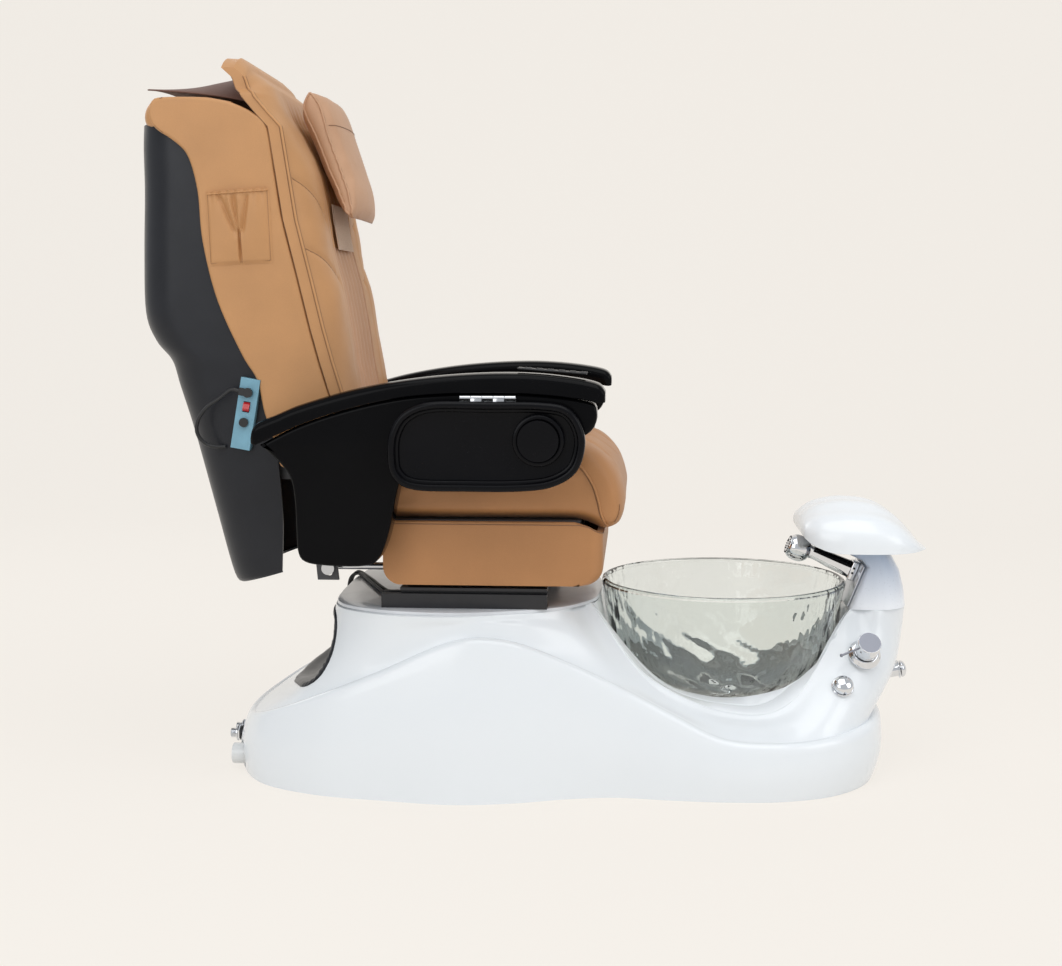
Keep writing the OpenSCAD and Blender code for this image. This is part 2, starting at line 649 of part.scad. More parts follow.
module recline_actuator() {
    color("#202022") difference() {
        union() {
            bar([-286, rod_y, rod_z], [-90, rod_y, rod_z], 20, 40);
            translate([-120, rod_y - 20, rod_z - 14]) cube([70, 56, 28]);
            translate([-190, -228, rod_z + 10]) cube([40, 30, 40]);
            bar([-118, rod_y + 38, rod_z], [-40, rod_y + 38, rod_z], 17, 32);
        }
        bar([-290, rod_y, rod_z], [-130, rod_y, rod_z], 7.6, 32);
    }
}

module recline_rod() {
    color("silver") {
        bar([rod_pin_x, rod_y, rod_z], [-170, rod_y, rod_z], 7, 32);
        translate([rod_pin_x, rod_y + 12, rod_z]) rotate([90, 0, 0]) cylinder(h = 48, r = 6, $fn = 32);
        translate([rod_pin_x, rod_y - 32, rod_z]) rotate([90, 0, 0]) cylinder(h = 6, r = 12, $fn = 40);
        translate([rod_pin_x, rod_y + 12, rod_z]) rotate([90, 0, 0]) cylinder(h = 24, r = 11, $fn = 40);
    }
}

// ---------- backrest ----------

upright = [[-405, 470], [-425, 740], [-590, 1240]];
low_bar = [-421, 0, 690];       // cross bars that carry the massage rails
high_bar = [-590, 0, 1240];
rail_dir = unit(high_bar - low_bar);
rail_lean = atan2(rail_dir[0], rail_dir[2]);
stays = [[[-410, 590], [-590, 590]], [[-505, 985], [-690, 1000]]];
module back_frame() {
    color("#2e2e33") {
        difference() {
            union() {
                both_sides() {
                    plate(band(upright, 18), 212, 220);
                    for (s = stays) plate(band(s, 13), 204, 212);
                    translate([pivot[0], 220, pivot_z]) rotate([90, 0, 0]) cylinder(h = 8, r = 24,
                        $fn = 48);
                }
                mirror([0, 1, 0]) plate([[-422, 478], [-414, 388], [-374, 388], [-384, 478]], 212, 220);
            }
            both_sides() translate([pivot[0], 230, pivot_z]) rotate([90, 0, 0]) cylinder(h = 30,
                r = 8.06, $fn = 48);
            translate([rod_pin_x - 6.8, -224, rod_z - 9]) cube([13.6, 16, 18]);
            for (z = [-9, 9]) translate([rod_pin_x, -206, rod_z + z]) rotate([90, 0, 0]) cylinder(h = 20,
                r = 6.8, $fn = 40);
        }
        for (p = [low_bar, high_bar]) translate([p[0], 212, p[2]]) rotate([90, 0, 0]) cylinder(h = 424,
            r = 12, $fn = 32);
        for (s = stays) {
            translate([s[1][0], 204, s[1][1]]) rotate([90, 0, 0]) cylinder(h = 408, r = 10, $fn = 24);
            for (y = [-90, 90]) translate([shell_inner(s[1][1]), y - 15,
                s[1][1] - 8]) cube([s[1][0] - shell_inner(s[1][1]), 30, 16]);
        }
    }
}

module massage_rails() {
    color("silver") for (y = [-45, 45]) bar(low_bar + [0, y, 0] + 12 * rail_dir, high_bar + [0, y,
        0] - 12 * rail_dir, 7, 24);
}

carriage_at = low_bar + 100 * rail_dir;
roller_ahead = 15;              // distance of the roller axle in front of the rails
module massage_carriage() {
    color("#38383c") translate(carriage_at) rotate([0, rail_lean, 0]) {
        difference() {
            union() {
                translate([-14, -70, -30]) cube([28, 140, 60]);
                translate([-60, -34, -24]) cube([48, 68, 48]);
                for (y = [-86, 70]) translate([8, y, -8]) cube([14, 16, 16]);
            }
            for (y = [-45, 45]) translate([0, y, -40]) cylinder(h = 80, r = 7.5, $fn = 32);
        }
        for (y = [86, -86]) translate([roller_ahead, y + (y > 0 ? 30 : 0), 0]) rotate([90, 0,
            0]) cylinder(h = 30, r = 4, $fn = 24);
    }
}

module massage_rollers() {
    color("#8a5a3a") translate(carriage_at) rotate([0, rail_lean, 0]) for (y = [-88,
        88]) translate([roller_ahead, y, 0])
        rotate([y < 0 ? 90 : -90, 0, 0]) rotate_extrude($fn = 40)
            polygon(concat([[4.05, 0], [20, 0]], curve([[23, 4], [25, 12], [23, 20]], 3), [[20, 24],
                [4.05, 24]]));
}

// Rows of the rear shell from the bottom up: [z and x at the rear, z and x at the front, half-width]
shell_rows = [[379, -571, 404, -483, 212], [392, -585, 420, -480, 220], [520, -616, 520, -476, 228],
    [664, -652, 664, -486, 232], [752, -678, 745, -494, 234], [800, -692, 795, -510, 236], [838, -722,
        825, -520, 236],
    [890, -740, 880, -545, 236], [1000, -740, 990, -575, 236], [1110, -736, 1100, -590, 236],
    [1190, -736, 1180, -600, 236], [1231.5, -734, 1231.5, -606, 236]];
// Inner face of the rear shell's back at a height
function shell_inner(z) = max(lookup(z, [for (r = shell_rows) [r[0], r[1] + 0.5]]), -738) + shell_t;
function shell_row(r) = let(corner = 75, w = r[4], zr = r[0], xr = r[1], zf = r[2], xf = r[3],
    half = [[xf, -w], [(xf + xr + corner) / 2, -w],
        for (a = [270:-22.5:180]) [xr + corner + corner * cos(a), -w + corner + corner * sin(a)],
        [xr - 3, -w * 0.35]])
    [for (p = concat(half, [[xr - 4, 0]], [for (k = [len(half) - 1:-1:0]) [half[k][0], -half[k][1]]]))
        [max(p[0], -740), p[1], zr + (zf - zr) * (p[0] - xr) / (xf - xr)]];
module rear_shell() {
    color("#303237") difference() {
        sheet([for (r = shell_rows) shell_row(r)], -shell_t);
        control_box_cut();
    }
}

cover_side = [[-464, 600], [-479, 632], [-496, 680], [-505, 710], [-517, 765], [-544, 811], [-588, 911],
    [-613, 1019],
    [-620, 1109], [-637, 1172], [-682, 1213], [-705, 1228], [-707, 1258], [-695, 1276], [-601, 1276],
        [-557, 1268],
    [-512, 1247], [-489, 1222], [-476, 1136], [-464, 1056], [-439, 953], [-417, 859], [-400, 796], [-384,
        743],
    [-366, 690], [-347, 600]];
roll_rear = [[-236, -704], [-228, -716], [-200, -725], [-140, -733], [0, -739], [140, -733], [200, -725],
    [228, -716],
    [236, -704]];
module back_cover() {
    color("#ba8c60") {
        difference() {
            slab(cover_side, -back_half_w, -back_half_w + panel_t - 0.5, 6);
            control_box_cut();
        }
        slab(cover_side, back_half_w - panel_t + 0.5, back_half_w, 6);
        loft([for (p = roll_rear) let(x = p[1]) [for (q = [[x, 1232], [x - 1, 1252], [x + 8, 1268],
            [x + 26, 1277],
            [-601, 1277], [-558, 1269], [-553, 1262], [x + 20, 1262], [x + 12, 1250], [x + 10, 1232]])
            [q[0], p[0], q[1]]]]);
    }
}

// Rear of the back pad, and its front at the crest of the side rolls: [z, x]
pad_rear = [[600, -345], [690, -364], [743, -382.5], [796, -398.5], [859, -415.5], [953, -437.5], [1056,
    -462.5], [1136, -474.5],
    [1222, -487.5], [1247, -510.5], [1276, -535], [1310, -547], [1339, -556], [1356, -575]];
pad_front = curve([[606, -322], [640, -326], [700, -336], [745, -344], [796, -353], [857, -361], [898,
    -368], [941, -376],
    [1008, -394], [1064, -402], [1094, -405], [1144, -416], [1177, -428], [1216, -448], [1249, -469],
        [1303, -494],
    [1334, -534], [1356, -566]], 1);
strip_w = 24;                   // width of the sewn strip along the pad's rear edge
recess = 5;                     // how far the middle panel lies behind the side rolls
module back_pad() {
    half = back_half_w;
    edge = 0.42;                // half-width of the channelled middle panel, as a part of the whole
    stations = concat([-1, -0.98, -0.93, -0.84, -0.72, -0.6, -0.5],
        [for (k = [0:4 * channels]) edge * (k / (2 * channels) - 1)],
        [0.5, 0.6, 0.72, 0.84, 0.93, 0.98, 1]);
    color("#ba8c60") loft([for (s = stations) let(e = abs(s),
        side = e > 0.66 ? pow((e - 0.66) / 0.34, 2) : 0,
        sunk = e < 0.6 ? recess * pow(cos(90 * e / 0.6), 0.5) : 0,
        sewn = e <= edge ? channel_depth * (0.5 - 0.5 * cos(360 * channels * (s / edge + 1) / 2)) -
            channel_depth : 0)
        concat(
            [for (p = pad_front) let(welt = at(pad_rear, p[0]) + strip_w, fade = min(1, max(0,
                (1290 - p[0]) / 80)),
                high = p[0] > 1300)
                [welt + max(0, p[1] - welt) * (1 - side) - (sunk - sewn) * fade,
                    s * half * (high ? 0.93 : 1),
                    p[0] - (high ? 26 * side : 0)]],
            [for (k = [len(pad_rear) - 1:-1:0]) let(p = pad_rear[k], high = p[0] > 1300)
                [p[1], s * half * (high ? 0.93 : 1), p[0] - (high ? 26 * side : 0)]])]);
}

pillow_side = loop([[-457, 1267], [-449, 1308], [-420, 1304], [-369, 1270], [-351, 1238], [-333, 1164],
    [-322, 1099],
    [-322, 1071], [-338, 1050], [-366, 1062], [-400, 1127], [-436, 1221]], 2);
module head_pillow() {
    half = 128;
    color("#b99a7c") loft([for (s = [-1, -0.97, -0.88, -0.7, -0.4, 0, 0.4, 0.7, 0.88, 0.97,
        1]) let(e = abs(s))
        [for (p = inset(pillow_side, 16 * pow(e, 12) + 2 * e * e)) [p[0] - (1 - e * e) * 4, s * half,
            p[1]]]]);
}

// A broad elastic band on the middle panel, under the pillow
module pillow_strap() {
    color("#d8c3ac") slab([[-394, 1008], [-391.5, 1008], [-401, 1064], [-404, 1094], [-406.5, 1094],
        [-403.5, 1064]], -76, 76, 1);
}

// Rows of the flap from the pad back: [x and z in the middle, x and z at its ends]
flap_rows = [[-567, 1346, -536, 1274], [-592, 1338, -570, 1281], [-622, 1330, -610, 1287], [-656, 1319,
    -654, 1292],
    [-690, 1312, -694, 1295], [-722, 1309, -722, 1297]];
module top_flap() {
    color("#8c6f5c") sheet([for (r = flap_rows) [for (k = [-8:8]) let(c = pow(cos(90 * k / 8), 0.8))
        [r[2] + (r[0] - r[2]) * c, k * 25, r[3] + (r[1] - r[3]) * c]]], 3);
}

module side_pocket() {
    color("#ba8c60") mirror([0, 1, 0]) difference() {
        plate([[-604, 1106], [-486, 1114], [-480, 978], [-600, 972]], back_half_w, back_half_w + 12);
        plate([[-601, 1200], [-489, 1200], [-484, 982], [-597, 976]], back_half_w + 2, back_half_w + 10);
    }
}

box_pose = [-538, -252, 702];   // middle of the control box's face
module at_box() {
    translate(box_pose) rotate([0, 10, 0]) children();
}
module control_box_cut() {
    at_box() translate([-18.2, -20, -66.2]) cube([36.4, 90, 132.4]);
}
module control_box() {
    color("#7fa6bc") at_box() difference() {
        translate([-18, 0, -66]) cube([36, 46, 132]);
        translate([-6.5, -1, 3]) cube([13, 14, 20]);
        translate([0, 12, 40]) rotate([90, 0, 0]) cylinder(h = 14, r = 8, $fn = 32);
        translate([0, 12, -16]) rotate([90, 0, 0]) cylinder(h = 14, r = 7, $fn = 32);
        translate([-8, 4, 13]) rotate([0, 90, 0]) cylinder(h = 16, r = 1.55, $fn = 24);
    }
}

module power_plug() {
    color("#161616") at_box() {
        translate([0, 10, 40]) rotate([90, 0, 0]) cylinder(h = 14, r = 8, $fn = 32);
        translate([0, -4, 40]) rotate([90, 0, 0]) cylinder(h = 7, r = 9, $fn = 32);
        translate([-16, -11, 33]) cube([16, 7, 14]);
    }
}

module signal_jack() {
    color("#161616") at_box() translate([0, 10, -16]) rotate([90, 0, 0]) {
        cylinder(h = 12, r = 7, $fn = 32);
        translate([0, 0, 10]) cylinder(h = 5, r = 8.5, $fn = 32);
    }
}

module rocker_switch() {
    color("#c4161c") at_box() translate([0, 4, 13]) {
        rotate([-8, 0, 0]) intersection() {
            translate([-6, -8, -9]) cube([12, 14, 18]);
            rotate([0, 90, 0]) translate([0, 0, -10]) cylinder(h = 20, r = 9, $fn = 40);
        }
        translate([-8, 0, 0]) rotate([0, 90, 0]) cylinder(h = 16, r = 1.5, $fn = 24);
    }
}

// Route of the loop from the power plug to the grommet low on the rear shell
cable_route = [[-547, -259.5, 744.3], [-562, -259.5, 746.6], [-584, -259.5, 731], [-606, -259, 716],
    [-622, -258, 697],
    [-629, -256, 676], [-625, -253, 658], [-612, -249, 645], [-596, -245, 640], [-580, -240, 640]];
module control_cable() {
    color("#101010") cord(cable_route, 3.5, 3);
}

// ---------- arms and trays ----------

// Top and underside of the arm pad: [x, z]
arm_top = curve([[-508, 668], [-500, 688], [-416, 724], [-326, 750], [-236, 767], [-147, 777], [-60, 781],
    [12, 779], [80, 771], [116, 762], [127, 750]], 2);
arm_low = [[-508, 655], [-500, 652], [-416, 690], [-326, 719], [-236, 738], [-147, 745.5], [-60, 747],
    [12, 744], [80, 737], [116, 730], [127, 731]];
module arm_pad() {
    a = arm_inner;
    b = arm_inner + arm_w;
    color("#0c0c0e") loft([for (p = arm_top) let(low = at(arm_low, p[0]), h = p[1] - low, r = min(15,
        h * 0.45),
        t = min(1, (p[0] + 512) / 16, (131 - p[0]) / 20), w = (1 - t) * 12)
        [[p[0], a + w, low], [p[0], a + w, low + h * 0.4], [p[0], a + w + r * 0.1, p[1] - r * 0.6],
            [p[0], a + w + r * 0.45, p[1] - r * 0.18],
            [p[0], a + w + r, p[1]], [p[0], (a + b) / 2, p[1] + 1.5 * t], [p[0], b - w - r, p[1]],
            [p[0], b - w - r * 0.45, p[1] - r * 0.18], [p[0], b - w - r * 0.1, p[1] - r * 0.6],
            [p[0], b - w, low + h * 0.4], [p[0], b - w, low]]]);
}

arm_outline = concat([[-486, 655]], curve([[-489, 650], [-458, 621], [-434, 589], [-430, 552], [-429,
    500], [-428, 461], [-418, 440],
    [-378, 433], [-305, 433], [-276, 450], [-259, 500], [-244, 572], [-225, 622], [-180, 648], [-60,
        656], [40, 660],
    [92, 672], [112, 694], [112, 722]], 2), [[104, 729], [60, 738.5], [12, 743.7], [-60, 746.7], [-147,
        745.2], [-236, 737.7], [-326, 718.7], [-416, 689.7]]);
module arm_body() {
    color("#111113") difference() {
        slab(arm_outline, arm_inner + 8, arm_inner + 68, 7);
        translate([arm_pivot[0], arm_inner + 64, arm_pivot[2]]) rotate([90, 0, 0]) cylinder(h = 80,
            r = 12.06, $fn = 48);
    }
}

knuckle = 20;
module arm_hinge() {
    y = hinge_y;
    color("silver") {
        translate([-130, arm_inner + 68, 702]) cube([100, 2, 30]);
        for (k = [0, 2, 4]) translate([-130 + k * knuckle, 0, 0]) {
            translate([0.2, y, hinge_z]) rotate([0, 90, 0]) cylinder(h = knuckle - 0.4, r = 5, $fn = 32);
            translate([0.2, arm_inner + 68, 724]) cube([knuckle - 0.4, 2, hinge_z - 724]);
            translate([0.2, arm_inner + 68, hinge_z - 5]) cube([knuckle - 0.4, y - arm_inner - 68, 5]);
        }
        translate([-130, y, hinge_z]) rotate([0, 90, 0]) cylinder(h = 100, r = 2.5, $fn = 32);
    }
}

tray_outline = loop([[-256, 639], [-248, 600], [-212, 577], [-120, 574], [-20, 575], [38, 584], [78,
    610], [93, 655], [86, 694],
    [60, 724], [10, 732.5], [-80, 733], [-179, 732.5], [-228, 714], [-251, 680]], 2);
cup_at = [11, 665];
module tray() {
    y0 = hinge_y + 2;
    y1 = hinge_y + 29;
    color("#1a1a1d") difference() {
        union() {
            difference() {
                slab(tray_outline, y0, y1, 6);
                plate(inset(tray_outline, 13), y0 + 9, y1 + 5);
            }
            translate([cup_at[0], y1 - 3, cup_at[1]]) rotate([90, 0, 0]) cylinder(h = y1 - y0 - 8,
                r = cup_r, $fn = 64);
            for (k = [1, 3]) translate([-130 + k * knuckle, 0, 0]) {
                translate([0.2, hinge_y, hinge_z]) rotate([0, 90, 0]) cylinder(h = knuckle - 0.4, r = 5,
                    $fn = 32);
                translate([0.2, hinge_y + 1, 722]) cube([knuckle - 0.4, 8, hinge_z - 722]);
            }
        }
        translate([cup_at[0], y1 + 5, cup_at[1]]) rotate([90, 0, 0]) cylinder(h = 60, r = 36, $fn = 64);
        for (k = [1, 3]) translate([-130 + k * knuckle - 1, hinge_y, hinge_z]) rotate([0, 90,
            0]) cylinder(h = knuckle + 2, r = 2.56, $fn = 32);
    }
}

module keypad() {
    color("#19191c") translate([32, -(arm_inner + arm_w / 2), 783]) rotate([0, 4.4, 0]) {
        difference() {
            translate([-62, -13, 0]) cube([124, 26, 4]);
            for (k = [0:5]) translate([-50 + k * 20, -8, 2.5]) cube([14, 16, 5]);
        }
        for (k = [0:5]) translate([-49 + k * 20, -7, 2.5]) cube([12, 14, 2.6]);
    }
}

module arm_right_body() { mirror([0, 1, 0]) arm_body(); }
module arm_right_pad() { mirror([0, 1, 0]) arm_pad(); }
module arm_right_hinge() { mirror([0, 1, 0]) arm_hinge(); }
module arm_right_keypad() { keypad(); }
module tray_right() { mirror([0, 1, 0]) tray(); }
module arm_left_body() { arm_body(); }
module arm_left_pad() { arm_pad(); }
module arm_left_hinge() { arm_hinge(); }
module tray_left() { tray(); }

base_shell();
deck_plate();
glass_bowl();
bowl_cradle();
drain_strainer();
drain_pipe();
water_inlets();
base_frame();
base_feet();
slide_rails();
deck_cables();
recess_liner();
column_cover();
column_faceplate();
spray_dock();
footrest_guide();
mixer_escutcheon();
diverter_escutcheon();
drain_knob_escutcheon();
mixer_cap();
diverter_knob();
drain_knob();
spray_handset();
footrest();
seat_carriage();
seat_frame();
side_plates();
pivot_bolts();
seat_box();
seat_cushion();
recline_actuator();
recline_rod();
back_frame();
massage_rails();
massage_carriage();
massage_rollers();
rear_shell();
back_cover();
back_pad();
head_pillow();
pillow_strap();
top_flap();
side_pocket();
control_box();
power_plug();
signal_jack();
rocker_switch();
control_cable();
arm_right_body();
arm_right_pad();
arm_right_hinge();
arm_right_keypad();
tray_right();
arm_left_body();
arm_left_pad();
arm_left_hinge();
tray_left();
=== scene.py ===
"""Pedicure spa chair: looks of a reclining massage seat over a moulded base with a glass foot bowl.

Each sub-assembly is a class that holds its sizes in millimetres and builds its own pieces. Each
finish is a small frozen dataclass that makes one procedural material.
"""

from __future__ import annotations

import json
import logging
import math
from dataclasses import dataclass
from enum import Enum
from typing import Callable, Sequence

import bmesh
import bpy
import numpy as np
from mathutils import Matrix, Vector
from mathutils.bvhtree import BVHTree

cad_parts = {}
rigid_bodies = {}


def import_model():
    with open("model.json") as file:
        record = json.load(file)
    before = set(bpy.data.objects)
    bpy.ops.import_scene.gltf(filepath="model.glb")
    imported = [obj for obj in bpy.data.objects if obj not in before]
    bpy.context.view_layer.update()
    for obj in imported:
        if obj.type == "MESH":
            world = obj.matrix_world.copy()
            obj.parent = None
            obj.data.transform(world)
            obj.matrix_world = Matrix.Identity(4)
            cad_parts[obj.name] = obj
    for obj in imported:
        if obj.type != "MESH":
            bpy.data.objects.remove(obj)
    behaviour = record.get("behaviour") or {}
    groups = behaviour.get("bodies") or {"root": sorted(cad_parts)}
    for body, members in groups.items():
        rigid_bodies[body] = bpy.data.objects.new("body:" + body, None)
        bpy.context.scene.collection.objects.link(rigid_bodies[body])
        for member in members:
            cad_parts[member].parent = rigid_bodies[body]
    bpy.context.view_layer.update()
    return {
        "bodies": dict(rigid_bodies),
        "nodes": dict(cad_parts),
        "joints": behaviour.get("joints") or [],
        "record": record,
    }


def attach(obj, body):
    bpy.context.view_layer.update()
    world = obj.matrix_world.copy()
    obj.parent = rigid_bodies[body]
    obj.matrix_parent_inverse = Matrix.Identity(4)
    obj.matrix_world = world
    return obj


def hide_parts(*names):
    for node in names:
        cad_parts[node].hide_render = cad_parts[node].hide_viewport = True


log = logging.getLogger("spa_chair")

MM = 0.001
# How stiff the simulated leather is.
STRETCH_STIFFNESS, BENDING_STIFFNESS = 12, 0.4
X_AXIS = (1, 0, 0)
Y_AXIS = (0, 1, 0)
# The foot bowl's middle and its outer wall, as radius and height.
BOWL_X = 355.0
BOWL_PROFILE = ((80, 126), (134, 140), (184, 175), (213, 218), (228, 275), (235, 325), (240, 357))
# The trays' hinges: the axis, from the chair's middle and the floor, its start and one knuckle's length.
HINGE_Y, HINGE_Z, HINGE_X, KNUCKLE = 343.0, 738.0, -130, 20
# A slab's flat ends have a narrow flat border, so that their shading stays flat, in mm.
FLAT_BORDER = 1.2
Point = Sequence[float]
Row = list[Point]
Colour = tuple[float, float, float]
Piece = bpy.types.Object
Socket = bpy.types.NodeSocket


class Side(Enum):
    """The side of the chair that an arm or a tray is on."""

    RIGHT = -1
    LEFT = 1

    @property
    def word(self) -> str:
        """The side's name as the record's nodes spell it."""
        return self.name.lower()


class Grain(Enum):
    """Kind of surface that a leather piece shows."""

    FINE = 0.6
    SOFT = 1.0


# ---------- curves ----------


def between(a: np.ndarray, b: np.ndarray, c: np.ndarray, d: np.ndarray, t: float) -> np.ndarray:
    """The place at t, from 0 to 1, between b and c on a smooth curve through four points or rows of points."""
    return 0.5 * (2 * b + (c - a) * t + (2 * a - 5 * b + 4 * c - d) * t * t + (3 * b - a - 3 * c + d) * t**3)


def spline(points: Sequence[Point], steps: int, closed: bool = False) -> np.ndarray:
    """A smooth curve through the points.

    Args:
        points: the points that the curve passes through.
        steps: how many pieces each stretch between two points is cut into.
        closed: whether the last point runs on to the first.

    Returns:
        The curve's points, one row each.
    """
    p = np.asarray(points, dtype=float)
    n = len(p)
    out = []
    for i in range(n if closed else n - 1):
        near = [(i + k) % n if closed else min(max(i + k, 0), n - 1) for k in (-1, 0, 1, 2)]
        out += [between(*p[near], k / steps) for k in range(steps)]
    if not closed:
        out.append(p[-1])
    return np.array(out)


def resampled(points: np.ndarray, count: int, closed: bool = False) -> np.ndarray:
    """The same line cut into equal steps.

    Args:
        points: the line's points.
        count: how many points the result has.
        closed: whether the line runs back to its first point.

    Returns:
        count points, evenly spaced along the line.
    """
    p = np.vstack([points, points[:1]]) if closed else np.asarray(points)
    run = np.concatenate([[0], np.cumsum(np.linalg.norm(np.diff(p, axis=0), axis=1))])
    at = np.linspace(0, run[-1], count + 1)[:-1] if closed else np.linspace(0, run[-1], count)
    return np.stack([np.interp(at, run, p[:, k]) for k in range(p.shape[1])], axis=1)


def value_at(x: float, table: Sequence[Point]) -> float:
    """The value that a table of [x, value] pairs, in any order, has at x."""
    t = sorted(table, key=lambda q: q[0])
    return float(np.interp(x, [q[0] for q in t], [q[1] for q in t]))


def smooth_table(table: Sequence[Point], steps: int = 8) -> list[list[float]]:
    """A table of [x, value] pairs, filled in along a smooth curve."""
    return spline(table, steps).tolist()


def unit_rows(rows: np.ndarray) -> np.ndarray:
    """The rows, each scaled to a length of one."""
    return rows / np.maximum(np.linalg.norm(rows, axis=1, keepdims=True), 1e-9)


def turn_steps(count: int) -> np.ndarray:
    """The angles of a whole turn cut into equal steps."""
    return np.linspace(0, 2 * math.pi, count + 1)[:-1]


def smooth_outline(points: Sequence[Point], steps: int, count: int) -> np.ndarray:
    """A smooth closed line through the points, cut into count equal steps."""
    return resampled(spline(points, steps, closed=True), count, closed=True)


def inset(outline: np.ndarray, distance: float) -> np.ndarray:
    """A closed outline moved inwards.

    Args:
        outline: points in a plane, in order.
        distance: how far each point moves, across the line through its neighbours.

    Returns:
        The moved points.
    """
    p = np.asarray(outline, dtype=float)
    q = np.roll(p, -1, axis=0)
    sign = np.sign(np.sum(p[:, 0] * q[:, 1] - q[:, 0] * p[:, 1]))
    t = unit_rows(q - np.roll(p, 1, axis=0))
    return p + sign * distance * np.stack([-t[:, 1], t[:, 0]], axis=1)


# ---------- meshes ----------


def mesh_object(name: str, points: Sequence[Point], faces: Sequence[Sequence[int]]) -> Piece:
    """A new object from points in millimetres and faces.

    Args:
        name: the piece's name.
        points: points in millimetres.
        faces: lists of point numbers.

    Returns:
        The object, linked to the scene, with faces that point outwards and smooth shading.
    """
    mesh = bpy.data.meshes.new(name)
    mesh.from_pydata([tuple(float(c) * MM for c in p) for p in points], [], [tuple(f) for f in faces])
    mesh.update()
    bm = bmesh.new()
    bm.from_mesh(mesh)
    bmesh.ops.remove_doubles(bm, verts=bm.verts, dist=1e-6)
    bmesh.ops.dissolve_degenerate(bm, edges=bm.edges, dist=1e-7)
    bmesh.ops.triangulate(bm, faces=[f for f in bm.faces if len(f.verts) > 4], ngon_method="EAR_CLIP")
    bmesh.ops.recalc_face_normals(bm, faces=bm.faces)
    bm.to_mesh(mesh)
    bm.free()
    obj = bpy.data.objects.new(name, mesh)
    bpy.context.scene.collection.objects.link(obj)
    shade(obj)
    return obj


def shade(obj: Piece, angle: float = 32.0) -> Piece:
    """Smooth shading, with edges sharper than the angle in degrees kept sharp."""
    obj.data.shade_smooth()
    obj.data.set_sharp_from_angle(angle=math.radians(angle))
    return obj


def surface(name: str, rows: Sequence[Sequence[Point]], wrap: bool = True, caps: bool = True) -> Piece:
    """A mesh through rows of equally many points.

    Args:
        name: the piece's name.
        rows: rows of points in millimetres.
        wrap: whether each row runs back to its first point.
        caps: whether the first and last rows are closed.

    Returns:
        The object.
    """
    m, n = len(rows[0]), len(rows)
    points = [p for r in rows for p in r]
    last = m if wrap else m - 1
    faces = [
        (i * m + j, i * m + (j + 1) % m, (i + 1) * m + (j + 1) % m, (i + 1) * m + j)
        for i in range(n - 1)
        for j in range(last)
    ]
    if caps:
        for row in (0, n - 1):
            if np.ptp(np.asarray(rows[row], dtype=float), axis=0).max() > 1e-3:
                faces.append(tuple(row * m + j for j in range(m)))
    return mesh_object(name, points, faces)


def tube(name: str, line: np.ndarray, radius: float, sides: int = 10, closed: bool = False) -> Piece:
    """A round bead or tube along a line.

    Args:
        name: the piece's name.
        line: the points that it follows, in millimetres.
        radius: its radius in millimetres.
        sides: how many sides it has.
        closed: whether the line runs back to its first point.

    Returns:
        The object.
    """
    p = np.asarray(line, dtype=float)
    t = unit_rows(np.roll(p, -1, axis=0) - np.roll(p, 1, axis=0) if closed else np.gradient(p, axis=0))
    u = np.cross(t[0], [0, 0, 1] if abs(t[0][2]) < 0.9 else [0, 1, 0])
    rows = []
    for k in range(len(p)):
        u = u - t[k] * np.dot(u, t[k])
        u /= max(np.linalg.norm(u), 1e-9)
        w = np.cross(t[k], u)
        rows.append([p[k] + radius * (math.cos(a) * u + math.sin(a) * w) for a in turn_steps(sides)])
    if closed:
        rows.append(rows[0])
    return surface(name, rows, caps=not closed)


def lathe(
    name: str, profile: Sequence[Point], base: Point = (0, 0, 0), axis: Point = (0, 0, 1), turns: int = 64
) -> Piece:
    """A turned piece.

    Args:
        name: the piece's name.
        profile: [radius, height] pairs in millimetres, from one end to the other.
        base: where height 0 is.
        axis: the direction of the axis.
        turns: how many steps the turn is cut into.

    Returns:
        The object.
    """
    to_axis = Vector((0, 0, 1)).rotation_difference(Vector(axis).normalized()).to_matrix()
    rows = [
        [Vector(base) + to_axis @ Vector((r * math.cos(q), r * math.sin(q), h)) for q in turn_steps(turns)]
        for r, h in profile
    ]
    ends = abs(profile[0][0]) > 1e-6 or abs(profile[-1][0]) > 1e-6
    return surface(name, rows, caps=ends)


def slab(name: str, outline: np.ndarray, y0: float, y1: float, r: float, steps: int = 4) -> Piece:
    """An outline in X and Z made solid across the chair, with rounded edges.

    Args:
        name: the piece's name.
        outline: [x, z] points, in order.
        y0: the first side.
        y1: the other side.
        r: radius of the edges.
        steps: how many steps each rounded edge has.

    Returns:
        The object.
    """
    s = math.copysign(1, y1 - y0)
    flat = r + FLAT_BORDER
    edge = [(r * (1 - math.sin(a)), r * (1 - math.cos(a))) for a in np.linspace(0, math.pi / 2, steps + 1)]
    levels = [(y0, flat)] + [(y0 + s * deep, room) for deep, room in edge[::-1]]
    levels += [(y1 - s * deep, room) for deep, room in edge] + [(y1, flat)]
    return surface(name, [[(x, y, z) for x, z in inset(outline, room)] for y, room in levels])


def applied(obj: Piece) -> Piece:
    """The object with its modifiers made part of its mesh."""
    graph = bpy.context.evaluated_depsgraph_get()
    mesh = bpy.data.meshes.new_from_object(obj.evaluated_get(graph))
    old = obj.data
    obj.modifiers.clear()
    obj.data = mesh
    mesh.name = obj.name
    if old.users == 0:
        bpy.data.meshes.remove(old)
    return obj


def modified(obj: Piece, kind: str, **settings: object) -> Piece:
    """The object with one modifier applied.

    Args:
        obj: the object.
        kind: the modifier's type.
        settings: its properties.

    Returns:
        The same object.
    """
    mod = obj.modifiers.new(kind.title(), kind)
    for key, value in settings.items():
        setattr(mod, key, value)
    return applied(obj)


